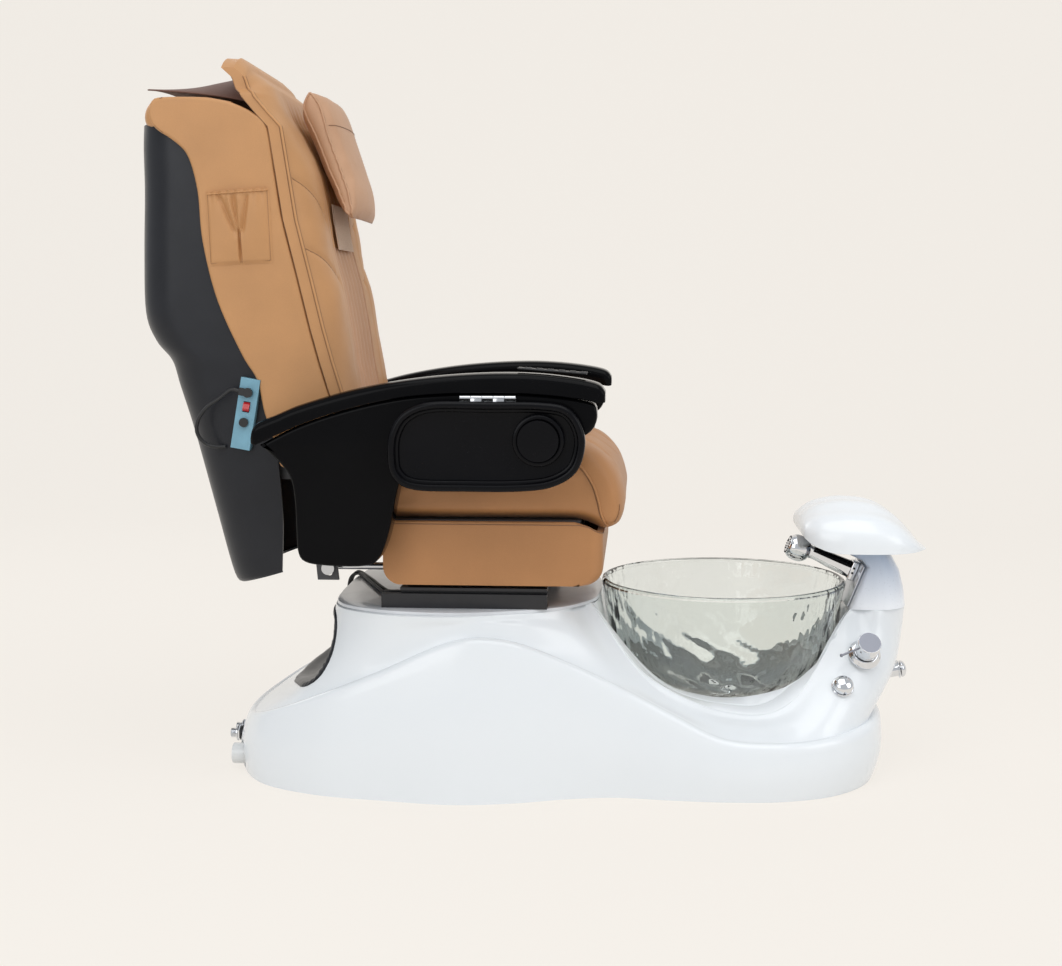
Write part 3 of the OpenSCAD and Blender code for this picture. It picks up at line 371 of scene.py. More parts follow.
def cut(obj: Piece, *cutters: Piece) -> Piece:
    """The object with the cutters' shapes taken out of it, and the cutters removed."""
    for cutter in cutters:
        modified(obj, "BOOLEAN", object=cutter, operation="DIFFERENCE", solver="EXACT")
        bpy.data.objects.remove(cutter)
    return shade(obj)


def joined(name: str, parts: Sequence[Piece]) -> Piece:
    """Several objects as one.

    Args:
        name: the name of the result.
        parts: the objects, which are used up.

    Returns:
        The joined object, with each part's own material kept.
    """
    bm = bmesh.new()
    slots: list[bpy.types.Material] = []
    for part in parts:
        start = len(bm.faces)
        bm.from_mesh(part.data)
        bm.faces.ensure_lookup_table()
        mats = list(part.data.materials)
        for f in bm.faces[start:]:
            m = mats[f.material_index] if mats and f.material_index < len(mats) else None
            if m is not None and m not in slots:
                slots.append(m)
            f.material_index = slots.index(m) if m in slots else 0
        bpy.data.objects.remove(part)
    mesh = bpy.data.meshes.new(name)
    bm.to_mesh(mesh)
    bm.free()
    for m in slots:
        mesh.materials.append(m)
    obj = bpy.data.objects.new(name, mesh)
    bpy.context.scene.collection.objects.link(obj)
    return shade(obj)


def moved(obj: Piece, change: Callable[[Vector], Vector]) -> Piece:
    """The object with each point of its mesh moved by a rule in millimetres."""
    for v in obj.data.vertices:
        v.co = change(v.co / MM) * MM
    obj.data.update()
    return obj


def mirrored(obj: Piece, side: Side) -> Piece:
    """The object on the given side: its mesh is turned over for the right side."""
    if side is Side.RIGHT:
        bm = bmesh.new()
        bm.from_mesh(obj.data)
        bmesh.ops.scale(bm, vec=(1, -1, 1), verts=bm.verts)
        bmesh.ops.reverse_faces(bm, faces=bm.faces)
        bm.to_mesh(obj.data)
        bm.free()
        shade(obj)
    return obj


def bar(name: str, a: Point, b: Point, r: float, bevel: float = 0.8, turns: int = 40) -> Piece:
    """A round bar from a to b with softened ends."""
    h = (Vector(b) - Vector(a)).length
    profile = [(0, 0), (r - bevel, 0), (r, bevel), (r, h - bevel), (r - bevel, h), (0, h)]
    return lathe(name, profile, a, Vector(b) - Vector(a), turns)


def block(name: str, low: Point, high: Point, bevel: float = 1.0, segments: int = 3) -> Piece:
    """A box with rounded edges.

    Args:
        name: the piece's name.
        low: its lowest corner.
        high: its highest corner.
        bevel: radius of its edges.
        segments: how many steps each edge has.

    Returns:
        The object.
    """
    (x0, y0, z0), (x1, y1, z1) = low, high
    p = [(x, y, z) for x in (x0, x1) for y in (y0, y1) for z in (z0, z1)]
    f = [(0, 1, 3, 2), (4, 6, 7, 5), (0, 4, 5, 1), (2, 3, 7, 6), (0, 2, 6, 4), (1, 5, 7, 3)]
    obj = mesh_object(name, p, f)
    return shade(modified(obj, "BEVEL", width=bevel * MM, segments=segments, limit_method="ANGLE"), 50)


def swell(obj: Piece, voxel: float, pressure: float, cap: float, frames: int = 14) -> Piece:
    """Cloth pressed out from inside, as foam presses its cover.

    Args:
        obj: a closed piece, slightly smaller than wanted.
        voxel: size in millimetres of the mesh that the cloth is made on.
        pressure: how hard it is pressed out.
        cap: how far in millimetres a point may move.
        frames: how many steps the simulation takes.

    Returns:
        The object, with the result in its mesh.
    """
    modified(obj, "REMESH", mode="VOXEL", voxel_size=voxel * MM, use_smooth_shade=True)
    start = np.empty(len(obj.data.vertices) * 3)
    obj.data.vertices.foreach_get("co", start)
    cloth = obj.modifiers.new("Cloth", "CLOTH")
    cloth.settings.use_pressure = True
    cloth.settings.uniform_pressure_force = pressure
    cloth.settings.tension_stiffness = cloth.settings.compression_stiffness = STRETCH_STIFFNESS
    cloth.settings.bending_stiffness = BENDING_STIFFNESS
    cloth.settings.effector_weights.gravity = 0
    scene = bpy.context.scene
    for k in range(1, frames + 1):
        scene.frame_set(k)
    graph = bpy.context.evaluated_depsgraph_get()
    mesh = obj.evaluated_get(graph).to_mesh()
    end = np.empty(len(mesh.vertices) * 3)
    mesh.vertices.foreach_get("co", end)
    obj.modifiers.clear()
    move = (end - start).reshape(-1, 3)
    size = np.linalg.norm(move, axis=1, keepdims=True)
    move *= np.minimum(1, cap * MM / np.maximum(size, 1e-9))
    obj.data.vertices.foreach_set("co", (start.reshape(-1, 3) + move).ravel())
    obj.data.update()
    scene.frame_set(1)
    return shade(modified(obj, "SMOOTH", factor=0.5, iterations=4), 60)


# ---------- materials ----------


class Recipe:
    """A material's nodes, with short calls for the ones that the finishes share."""

    def __init__(self, name: str) -> None:
        """Starts a material with one Principled shader."""
        self.material = bpy.data.materials.new(name)
        self.material.use_nodes = True
        self.tree = self.material.node_tree
        self.shader = self.tree.nodes["Principled BSDF"]
        self.place = self.node("ShaderNodeTexCoord").outputs["Object"]

    def node(self, kind: str, **settings: object) -> bpy.types.Node:
        """A new node with its properties set."""
        made = self.tree.nodes.new(kind)
        for key, value in settings.items():
            setattr(made, key, value)
        return made

    def link(self, out: Socket, into: Socket) -> None:
        """Joins two sockets."""
        self.tree.links.new(out, into)

    def set(self, **values: object) -> Recipe:
        """Sets the shader's own sockets, with _ for a space in their names."""
        for key, value in values.items():
            self.shader.inputs[key.replace("_", " ")].default_value = value
        return self

    def stretched(self, scale: Point, turn: Point = (0, 0, 0)) -> Socket:
        """The place on the piece, stretched by a scale for each axis."""
        mapping = self.node("ShaderNodeMapping")
        mapping.inputs["Scale"].default_value = scale
        mapping.inputs["Rotation"].default_value = turn
        self.link(self.place, mapping.inputs["Vector"])
        return mapping.outputs["Vector"]

    def noise(self, scale: float, detail: float = 3.0, place: Socket | None = None) -> Socket:
        """Values of a noise pattern."""
        made = self.node("ShaderNodeTexNoise")
        made.inputs["Scale"].default_value = scale
        made.inputs["Detail"].default_value = detail
        self.link(place or self.place, made.inputs["Vector"])
        return made.outputs["Fac"]

    def cells(self, scale: float, place: Socket | None = None) -> Socket:
        """Distances in a pattern of cells."""
        made = self.node("ShaderNodeTexVoronoi", feature="SMOOTH_F1")
        made.inputs["Scale"].default_value = scale
        self.link(place or self.place, made.inputs["Vector"])
        return made.outputs["Distance"]

    def ramp(self, value: Socket, low: float, high: float, a: Point, b: Point) -> Socket:
        """A colour that runs from a to b as the value runs from low to high."""
        made = self.node("ShaderNodeValToRGB")
        made.color_ramp.elements[0].position = low
        made.color_ramp.elements[1].position = high
        made.color_ramp.elements[0].color = (*a, 1)
        made.color_ramp.elements[1].color = (*b, 1)
        self.link(value, made.inputs["Fac"])
        return made.outputs["Color"]

    def colour(self, value: Socket, low: float, high: float, a: Point, b: Point) -> None:
        """Makes the base colour run from a to b as the value runs from low to high."""
        self.link(self.ramp(value, low, high, a, b), self.shader.inputs["Base Color"])

    def rough(self, value: Socket, low: float, high: float) -> None:
        """Spreads a value from 0 to 1 over the roughness from low to high."""
        made = self.node("ShaderNodeMapRange")
        made.inputs["To Min"].default_value = low
        made.inputs["To Max"].default_value = high
        self.link(value, made.inputs["Value"])
        self.link(made.outputs["Result"], self.shader.inputs["Roughness"])

    def bump(self, *layers: tuple[Socket, float]) -> Recipe:
        """Relief from patterns, each with its depth in metres."""
        last = None
        for height, depth in layers:
            made = self.node("ShaderNodeBump")
            made.inputs["Strength"].default_value = 1.0
            made.inputs["Distance"].default_value = depth
            self.link(height, made.inputs["Height"])
            if last is not None:
                self.link(last, made.inputs["Normal"])
            last = made.outputs["Normal"]
        self.link(last, self.shader.inputs["Normal"])
        return self


def tinted(colour: Point, factor: float) -> Colour:
    """A colour made darker or lighter."""
    return tuple(min(1.0, c * factor) for c in colour)


def srgb(red: float, green: float, blue: float) -> Colour:
    """A linear colour from screen values of 0 to 255."""
    return tuple(((c / 255 + 0.055) / 1.055) ** 2.4 if c > 10 else c / 255 / 12.92 for c in (red, green, blue))


@dataclass(frozen=True)
class Finish:
    """A surface of one kind and colour."""

    name: str
    colour: Colour

    def material(self) -> bpy.types.Material:
        """The finish as a material."""
        raise NotImplementedError


@dataclass(frozen=True)
class Leather(Finish):
    """Upholstery leather with a fine pebbled grain and slow changes of tone."""

    grain: Grain = Grain.FINE
    roughness: float = 0.46
    creases: float = 0.00035

    def material(self) -> bpy.types.Material:
        """The finish as a material."""
        r = Recipe(self.name)
        tone = r.ramp(r.noise(6, 4), 0.3, 0.72, tinted(self.colour, 0.9), tinted(self.colour, 1.08))
        pores = r.ramp(r.cells(1500), 0.0, 0.5, (0.78, 0.78, 0.78), (1, 1, 1))
        mix = r.node("ShaderNodeMix", data_type="RGBA", blend_type="MULTIPLY")
        mix.inputs[0].default_value = 0.55
        r.link(tone, mix.inputs[6])
        r.link(pores, mix.inputs[7])
        r.link(mix.outputs[2], r.shader.inputs["Base Color"])
        r.rough(r.noise(40, 3), self.roughness - 0.06, self.roughness + 0.08)
        r.set(Specular_IOR_Level=0.42, Sheen_Weight=0.06, Sheen_Roughness=0.4)
        r.bump(
            (r.noise(9, 2), self.creases * 4),
            (r.noise(38, 3), self.creases),
            (r.cells(900), 0.00012 * self.grain.value),
        )
        return r.material


@dataclass(frozen=True)
class Gelcoat(Finish):
    """White moulded gelcoat: glossy, with faint waviness and faint random changes of tone."""

    waviness: float = 0.0006

    def material(self) -> bpy.types.Material:
        """The finish as a material."""
        r = Recipe(self.name)
        r.colour(r.noise(3, 3), 0.3, 0.7, tinted(self.colour, 0.985), self.colour)
        r.rough(r.noise(14, 4), 0.17, 0.27)
        r.set(Coat_Weight=0.35, Coat_Roughness=0.06, Specular_IOR_Level=0.45)
        return r.bump((r.noise(5, 2), self.waviness), (r.noise(420, 2), 0.000012)).material


@dataclass(frozen=True)
class Pearl(Finish):
    """Pearl lacquer whose colour fades to another one from the top down, between two heights in metres."""

    bottom: Colour
    low_z: float
    high_z: float

    def material(self) -> bpy.types.Material:
        """The finish as a material."""
        r = Recipe(self.name)
        split = r.node("ShaderNodeSeparateXYZ")
        r.link(r.place, split.inputs[0])
        level = r.node("ShaderNodeMapRange")
        level.inputs["From Min"].default_value = self.low_z
        level.inputs["From Max"].default_value = self.high_z
        r.link(split.outputs["Z"], level.inputs["Value"])
        r.colour(level.outputs[0], 0.0, 1.0, self.bottom, self.colour)
        r.rough(r.noise(300, 3), 0.24, 0.34)
        r.set(Metallic=0.05, Coat_Weight=0.4, Coat_Roughness=0.08)
        return r.bump((r.noise(6, 2), 0.0004), (r.noise(1600, 1), 0.000008)).material


@dataclass(frozen=True)
class Plastic(Finish):
    """Moulded plastic, from high gloss to a satin spark texture."""

    roughness: float = 0.3
    texture: float = 0.00003
    scale: float = 900.0
    coat: float = 0.0
    wave: float = 0.0002
    specular: float = 0.5

    def material(self) -> bpy.types.Material:
        """The finish as a material."""
        r = Recipe(self.name)
        r.colour(r.noise(11, 4), 0.3, 0.7, tinted(self.colour, 0.88), tinted(self.colour, 1.1))
        spread = self.roughness * 0.22
        r.rough(r.noise(26, 5), self.roughness - spread, self.roughness + spread)
        r.set(Coat_Weight=self.coat, Coat_Roughness=0.03, Specular_IOR_Level=self.specular)
        return r.bump((r.noise(7, 1), self.wave), (r.noise(self.scale, 2), self.texture)).material


@dataclass(frozen=True)
class Metal(Finish):
    """Bare or plated metal, polished or brushed along one axis."""

    roughness: float = 0.08
    brushed: float = 0.0
    along: tuple[float, float, float] = (4, 900, 900)

    def material(self) -> bpy.types.Material:
        """The finish as a material."""
        r = Recipe(self.name)
        marks = r.noise(1.0, 3, r.stretched(self.along)) if self.brushed else r.noise(60, 4)
        r.colour(marks, 0.2, 0.8, tinted(self.colour, 0.9), self.colour)
        r.rough(marks, self.roughness * 0.75, self.roughness * 1.35)
        r.set(Metallic=1.0)
        return r.bump((marks, self.brushed * 0.00002 + 0.000003)).material


@dataclass(frozen=True)
class Painted(Finish):
    """Painted or powder-coated steel, with fine orange peel."""

    roughness: float = 0.4
    peel: float = 0.00004

    def material(self) -> bpy.types.Material:
        """The finish as a material."""
        r = Recipe(self.name)
        r.colour(r.noise(24, 5), 0.3, 0.72, tinted(self.colour, 0.85), tinted(self.colour, 1.08))
        r.rough(r.noise(55, 3), self.roughness * 0.8, self.roughness * 1.2)
        return r.bump((r.noise(700, 2), self.peel)).material


@dataclass(frozen=True)
class WavyGlass(Finish):
    """Clear pressed glass with a faint green-grey tint."""

    def material(self) -> bpy.types.Material:
        """The finish as a material."""
        r = Recipe(self.name)
        r.colour(r.noise(8, 2), 0.3, 0.7, tinted(self.colour, 0.97), self.colour)
        r.set(Transmission_Weight=1.0, IOR=1.45, Roughness=0.015)
        return r.bump((r.noise(1.0, 2, r.stretched((26, 26, 9))), 0.0042), (r.noise(30, 2), 0.0012)).material


@dataclass(frozen=True)
class Webbing(Finish):
    """Woven elastic or cloth tape, with ribs along it."""

    ribs: tuple[float, float, float] = (0, 1100, 0)

    def material(self) -> bpy.types.Material:
        """The finish as a material."""
        r = Recipe(self.name)
        wave = r.node("ShaderNodeTexWave", wave_type="BANDS", bands_direction="DIAGONAL")
        wave.inputs["Scale"].default_value = 0.35
        wave.inputs["Distortion"].default_value = 0.4
        r.link(r.stretched(self.ribs), wave.inputs["Vector"])
        r.colour(wave.outputs["Fac"], 0.1, 0.9, tinted(self.colour, 0.72), self.colour)
        r.set(Roughness=0.8, Sheen_Weight=0.2)
        return r.bump((wave.outputs["Fac"], 0.0003), (r.noise(1200, 2), 0.0001)).material


def every_finish() -> dict[str, bpy.types.Material]:
    """Every material of the chair, by the record's slot names."""
    finishes = (
        Gelcoat("white_gelcoat", srgb(232, 236, 239)),
        Plastic("deck_grey", srgb(214, 217, 221), 0.22, 0.00001, 900, 0.2),
        WavyGlass("clear_glass", (0.87, 0.905, 0.89)),
        Metal("chrome", (0.78, 0.79, 0.81), 0.055),
        Gelcoat("white_pvc", srgb(224, 226, 226)),
        Painted("frame_steel", (0.055, 0.055, 0.06), 0.45),
        Plastic("black_rubber", (0.012, 0.012, 0.013), 0.5, 0.00006, 500),
        Painted("black_steel", (0.014, 0.014, 0.017), 0.34),
        Plastic("charcoal_plastic", (0.015, 0.016, 0.02), 0.34, 0.00005, 1500, 0.0, 0.0003, 0.28),
        Pearl("pearl_plastic", srgb(160, 176, 200), srgb(240, 244, 250), 0.322, 0.428),
        Metal("silver_plate", (0.6, 0.62, 0.66), 0.3, 1.0, (900, 4, 900)),
        Metal("mixer_face", (0.3, 0.31, 0.35), 0.4, 1.0, (900, 4, 900)),
        Metal("brass_bush", (0.62, 0.45, 0.2), 0.25),
        Leather("tan_leather", srgb(190, 140, 92)),
        Leather("seat_leather", srgb(178, 126, 80), Grain.FINE, 0.5),
        Metal("rod_steel", (0.62, 0.63, 0.65), 0.14, 1.0, (4, 700, 700)),
        Plastic("roller_plastic", (0.16, 0.06, 0.03), 0.35),
        Leather("pillow_leather", srgb(192, 150, 118), Grain.SOFT, 0.52, 0.0005),
        Webbing("pale_strap", srgb(206, 176, 150)),
        Leather("dark_lining", srgb(104, 76, 66), Grain.SOFT, 0.7),
        Painted("blue_metal", srgb(120, 168, 188), 0.36, 0.00002),
        Plastic("black_plastic", (0.012, 0.012, 0.013), 0.34),
        Plastic("red_plastic", (0.52, 0.02, 0.025), 0.22, 0.00001, 900, 0.3),
        Plastic("gloss_black", (0.003, 0.003, 0.0035), 0.14, 0.000002, 900, 0.0, 0.0001, 0.07),
        Plastic("tray_black", (0.003, 0.003, 0.004), 0.2, 0.00001, 1400, 0.0, 0.0001, 0.12),
        Webbing("thread", srgb(150, 106, 70), (0, 0, 2600)),
        # Near black that paints the shade inside small holes, grooves and gaps.
        Plastic("dark_gap", (0.004, 0.004, 0.005), 0.6),
    )
    return {finish.name: finish.material() for finish in finishes}


@dataclass
class Assembly:
    """A part of the chair that builds its own pieces."""

    finishes: dict[str, bpy.types.Material]

    def dress(self, obj: Piece, slot: str, angle: float | None = None) -> Piece:
        """Gives a piece the material of a slot, and new smooth shading where an angle is given.

        Args:
            obj: the piece.
            slot: the slot's name.
            angle: edges sharper than this many degrees are kept sharp.

        Returns:
            The piece.
        """
        if angle is not None:
            shade(obj, angle)
        obj.data.materials.clear()
        obj.data.materials.append(self.finishes[slot])
        return obj


# ---------- repeated detail, made with Geometry Nodes ----------


class Repeater:
    """A Geometry Nodes tree that repeats one small shape along a line."""

    def __init__(self, name: str, **sizes: float) -> None:
        """Starts a tree that cuts the line into steps.

        Args:
            name: the tree's name.
            sizes: its inputs by name, with their values in millimetres, and the steps' length as Pitch.
        """
        self.tree = bpy.data.node_groups.new(name, "GeometryNodeTree")
        face = self.tree.interface
        for way in ("INPUT", "OUTPUT"):
            face.new_socket("Geometry", in_out=way, socket_type="NodeSocketGeometry")
        self.sizes = sizes
        kinds = {key: "NodeSocketFloat" for key in sizes} | {"Finish": "NodeSocketMaterial"}
        self.ids = {
            key: face.new_socket(key, in_out="INPUT", socket_type=kind).identifier for key, kind in kinds.items()
        }
        self.start = self.node("NodeGroupInput").outputs
        curve = self.node("GeometryNodeMeshToCurve")
        self.even = self.node("GeometryNodeResampleCurve", mode="LENGTH")
        self.link(self.start["Geometry"], curve.inputs[0])
        self.link(curve.outputs[0], self.even.inputs["Curve"])
        self.link(self.start["Pitch"], self.even.inputs["Length"])

    def node(self, kind: str, **settings: object) -> bpy.types.Node:
        """A new node with its properties set."""
        made = self.tree.nodes.new(kind)
        for key, value in settings.items():
            setattr(made, key, value)
        return made

    def link(self, out: Socket, into: Socket) -> None:
        """Joins two sockets."""
        self.tree.links.new(out, into)

    def close(self, shape: bpy.types.Node, turn: Socket | None = None) -> None:
        """Puts the shape at each step, and ends the tree in Realize Instances and Set Material.

        Args:
            shape: the node that makes the shape.
            turn: how each one is turned.
        """
        put = self.node("GeometryNodeInstanceOnPoints")
        real = self.node("GeometryNodeRealizeInstances")
        finish = self.node("GeometryNodeSetMaterial")
        self.link(self.even.outputs[0], put.inputs["Points"])
        self.link(shape.outputs["Mesh"], put.inputs["Instance"])
        if turn is not None:
            self.link(turn, put.inputs["Rotation"])
        self.link(put.outputs[0], real.inputs[0])
        self.link(real.outputs[0], finish.inputs["Geometry"])
        self.link(self.start["Finish"], finish.inputs["Material"])
        self.link(finish.outputs[0], self.node("NodeGroupOutput").inputs[0])

    def run(self, name: str, line: np.ndarray, finish: bpy.types.Material, closed: bool = False) -> Piece:
        """The tree's result along a line, as a plain mesh.

        Args:
            name: the result's name.
            line: the points of the line in millimetres.
            finish: its material.
            closed: whether the line runs back to its first point.

        Returns:
            The object.
        """
        n = len(line)
        edges = [(k, (k + 1) % n) for k in range(n if closed else n - 1)]
        mesh = bpy.data.meshes.new(name)
        mesh.from_pydata([tuple(float(c) * MM for c in p) for p in line], edges, [])
        obj = bpy.data.objects.new(name, mesh)
        bpy.context.scene.collection.objects.link(obj)
        mod = obj.modifiers.new("Repeat", "NODES")
        mod.node_group = self.tree
        for key, value in self.sizes.items():
            mod[self.ids[key]] = value * MM
        mod[self.ids["Finish"]] = finish
        return applied(obj)


class StitchRow(Repeater):
    """Short thread stitches laid end to end along a seam."""

    def __init__(self, pitch: float, length: float, radius: float) -> None:
        """Builds the tree, with sizes in millimetres."""
        super().__init__("stitch_row", Pitch=pitch, Length=length, Radius=radius)
        stitch = self.node("GeometryNodeMeshCylinder", fill_type="TRIANGLE_FAN")
        stitch.inputs["Vertices"].default_value = 6
        self.link(self.start["Radius"], stitch.inputs["Radius"])
        self.link(self.start["Length"], stitch.inputs["Depth"])
        align = self.node("FunctionNodeAlignRotationToVector", axis="Z")
        self.link(self.node("GeometryNodeInputTangent").outputs[0], align.inputs["Vector"])
        self.close(stitch, align.outputs[0])


class StudRow(Repeater):
    """Small domes set at equal steps along a line, such as spray nozzles."""

    def __init__(self, pitch: float, radius: float) -> None:
        """Builds the tree, with sizes in millimetres."""
        super().__init__("stud_row", Pitch=pitch, Radius=radius)
        dome = self.node("GeometryNodeMeshIcoSphere")
        dome.inputs["Subdivisions"].default_value = 2
        self.link(self.start["Radius"], dome.inputs["Radius"])
        self.close(dome)


# ---------- base ----------


@dataclass
class FootBase(Assembly):
    """The moulded base shell with its deck, the recess behind it and the pipes at its tail."""

    shell_top: float = 337.0
    seam_z: float = 316.0
    nose_x: float = 590.0
    wall: float = 6.0
    bowl_room: float = 5.5
    steps: int = 8
    inlets: tuple = (-62, -18)
    foot: tuple = (
        (-600, 0, 0), (-585, -130, 0), (-522, -246, 0), (-409, -310, 0), (-280, -336, 0), (-150, -353, 0),
        (-40, -337, 0), (60, -305, 0), (150, -289, 0), (250, -299, 0), (350, -304, 0), (460, -293, 0),
        (560, -246, 0), (630, -150, 0), (650, 0, 0),
    )  # fmt: skip
    ridge: tuple = (
        (-592, 0, 92), (-578, -122, 96), (-522, -222, 122), (-412, -284, 168), (-285, -308, 222), (-150, -318, 281),
        (-50, -312, 283), (60, -290, 240), (160, -276, 189), (255, -286, 141), (350, -298, 101), (465, -292, 95),
        (568, -246, 100), (642, -150, 107), (664, 0, 109),
    )  # fmt: skip
    waist: tuple = (
        (-446, 0, 200), (-443, -95, 204), (-425, -175, 215), (-376, -240, 262), (-285, -282, 292), (-150, -297, 318),
        (-40, -284, 318), (66, -246, 290), (160, -226, 222), (255, -236, 160), (352, -250, 128), (470, -240, 128),
        (580, -182, 180), (672, -92, 205), (697, 0, 210),
    )  # fmt: skip
    rim: tuple = (
        (-396, 0, 337), (-395, -90, 337), (-385, -185, 337), (-345, -245, 337), (-260, -289, 337), (-150, -300, 337),
        (-40, -272, 337), (43, -228, 337), (96, -150, 337), (200, -206, 215), (350, -218, 148), (478, -196, 165),
        (598, -70, 316), (655, -76, 316), (713, 0, 316),
    )  # fmt: skip
    inner: tuple = (
        (115, 0, 337), (115, -25, 337), (114, -50, 337), (112, -75, 337), (110, -98, 337), (108, -116, 337),
        (106, -128, 337), (104, -136, 337), (108, -146, 329), (226, -184, 196), (350, -197, 158), (458, -172, 172),
        (597, -60, 316), (596, -34, 316), (596, 0, 316),
    )  # fmt: skip
    contact_turn: tuple = (180, 176, 172, 168, 163, 158, 153, 148, 140, 118, 90, 62, 34, 16, 0)

    def bowl_radius(self, z: float) -> float:
        """The bowl's outer radius at a height."""
        return value_at(z, [(h, r) for r, h in spline(BOWL_PROFILE, 3).tolist()])

    def level(self, p: np.ndarray) -> np.ndarray:
        """A point kept under the deck, or under the seam at the nose."""
        return np.array([p[0], p[1], min(p[2], self.seam_z if p[0] > self.nose_x else self.shell_top)])

    def ring(self, half: Sequence[Point]) -> np.ndarray:
        """A whole ring from its near half."""
        whole = [list(p) for p in half] + [[p[0], -p[1], p[2]] for p in list(half)[-2:0:-1]]
        return np.array([self.level(p) for p in spline(whole, self.steps, closed=True)])

    def shrunk(self, half: Sequence[Point], distance: float, rise: float) -> list[np.ndarray]:
        """A half ring moved inwards and up."""
        p = [np.array(q, dtype=float) for q in half]
        out = []
        for k in range(len(p)):
            before = p[1][:2] * (1, -1) if k == 0 else p[k - 1][:2]
            after = p[k - 1][:2] * (1, -1) if k == len(p) - 1 else p[k + 1][:2]
            t = after - before
            t /= np.linalg.norm(t)
            out.append(p[k] + np.array([-t[1] * distance, t[0] * distance, rise]))
        return out

    def clear(self, p: np.ndarray) -> np.ndarray:
        """A point kept outside the bowl, with a little more room than where the shell touches it."""
        d = p[:2] - np.array([BOWL_X, 0])
        size = float(np.linalg.norm(d))
        if p[2] > BOWL_PROFILE[-1][1] or size < 1:
            return p
        r = max(size, self.bowl_radius(p[2]) + self.bowl_room + 1)
        return np.array([BOWL_X + d[0] / size * r, d[1] / size * r, p[2]])

    def rows(self) -> list[np.ndarray]:
        """The shell's rows from the floor, over the ridge and the waist, to the bowl."""
        contact = []
        for a in np.radians(self.contact_turn):
            z = 191 + 27 * math.cos(2 * a)
            r = self.bowl_radius(z) + self.bowl_room
            contact.append((BOWL_X + r * math.cos(a), -r * math.sin(a), z))
        foot, ridge, waist, rim = (self.ring(h) for h in (self.foot, self.ridge, self.waist, self.rim))
        ledge = self.ring(self.shrunk(self.ridge, 16, 11))
        inner = np.array([self.clear(p) for p in self.ring(self.inner)])
        last = self.ring(contact)

        out = [foot]
        away = unit_rows(foot * (1, 1, 0))
        for s in (0.04, 0.12, 0.25, 0.38, 0.5, 0.65, 0.8, 0.92):
            out.append(foot * (1 - s) + ridge * s + 9 * math.sin(math.pi * s) * away)
        for t in (0.0, 0.18, 0.42, 0.7):
            lift = np.array([0, 0, 5.5 * math.sin(math.pi * (0.12 + 0.88 * t))])
            out.append(ridge * (1 - t) + ledge * t + lift * (1 if t else 0.4))
        out.append(ledge)
        for a, b, c, d in ((ridge, ledge, waist, rim), (ledge, waist, rim, rim + (0, 0, 60))):
            for t in np.linspace(0, 1, 9)[1:]:
                out.append(np.array([self.level(p) for p in between(a, b, c, d, t)]))
        rim_in = rim * 0.965 + inner * 0.035
        out[-1] = out[-1] - (0, 0, 2.5)
        out.append(rim + (rim_in - rim) * 0.4 - (0, 0, 0.6))
        out.append(rim_in)
        out.append(rim * 0.08 + inner * 0.92)
        out.append(inner * 0.99 + last * 0.01 - (0, 0, 1.0))
        for t in (0.05, 0.12, 0.25, 0.4, 0.55, 0.7, 0.85):
            out.append(np.array([self.clear(p) for p in inner * (1 - t) + last * t]))
        out.append(last)
        return out

    def spoon(self, room: float) -> np.ndarray:
        """Outline of the recess behind the deck in Y and Z, made smaller by room."""
        half = [(0, 326), (90, 326), (165, 325), (194, 320), (208, 309), (217, 295), (227, 274), (235, 257), (241, 239),
                (245, 222), (246, 206), (241, 193), (229, 184), (206, 179), (133, 168), (60, 155),
                (0, 150)]  # fmt: skip
        whole = half + [(-y, z) for y, z in half[-2:0:-1]]
        return inset(spline(whole, 5, closed=True), room)

    def opening(self, room: float) -> Piece:
        """A block with the recess's outline, to cut with."""
        return surface("cutter", [[(x, y, z) for y, z in self.spoon(room)] for x in (-560, -350)])

    def shell(self) -> Piece:
        """The shell with its holes."""
        obj = surface("base_shell_skin", self.rows(), caps=False)
        modified(obj, "SOLIDIFY", thickness=self.wall * MM, offset=-1)
        cut(obj, self.opening(9), bar("cutter", (-640, -150, 30), (-530, -150, 30), 27, 0.1, 64))
        for y in self.inlets:
            cut(obj, bar("cutter", (-640, y, 46), (-570, y, 46), 11, 0.1, 32))
        return self.dress(obj, "white_gelcoat", 38)

    def liner(self) -> Piece:
        """The dark dished liner of the recess, with its rolled rim."""
        rows = self.rows()
        skin = np.array([[r[j % len(r)] for j in range(-5 * self.steps, 5 * self.steps + 1)] for r in rows[13:31]])
        points = skin.reshape(-1, 3)

        def on_shell(y: float, z: float) -> np.ndarray:
            d = (points[:, 1] - y) ** 2 + (points[:, 2] - z) ** 2
            near = np.argsort(d)[:6]
            w = 1 / (d[near] + 4)
            return np.array([float(np.sum(points[near, 0] * w) / np.sum(w)), y, z])

        bands = []
        for room, out in ((0, 0.3), (0.4, -2.2), (2.5, -3.4), (7.0, -3.2), (9.5, -2.0), (10.5, 1), (11.5, 10), (13, 20),
                          (18, 22.5), (30, 23)):  # fmt: skip
            bands.append([on_shell(y, z) + (out, 0, 0) for y, z in self.spoon(room)])
        rows_in = surface("recess_liner_dish", bands, caps=False)
        modified(rows_in, "SOLIDIFY", thickness=2.4 * MM, offset=-1)
        return self.dress(rows_in, "charcoal_plastic", 50)

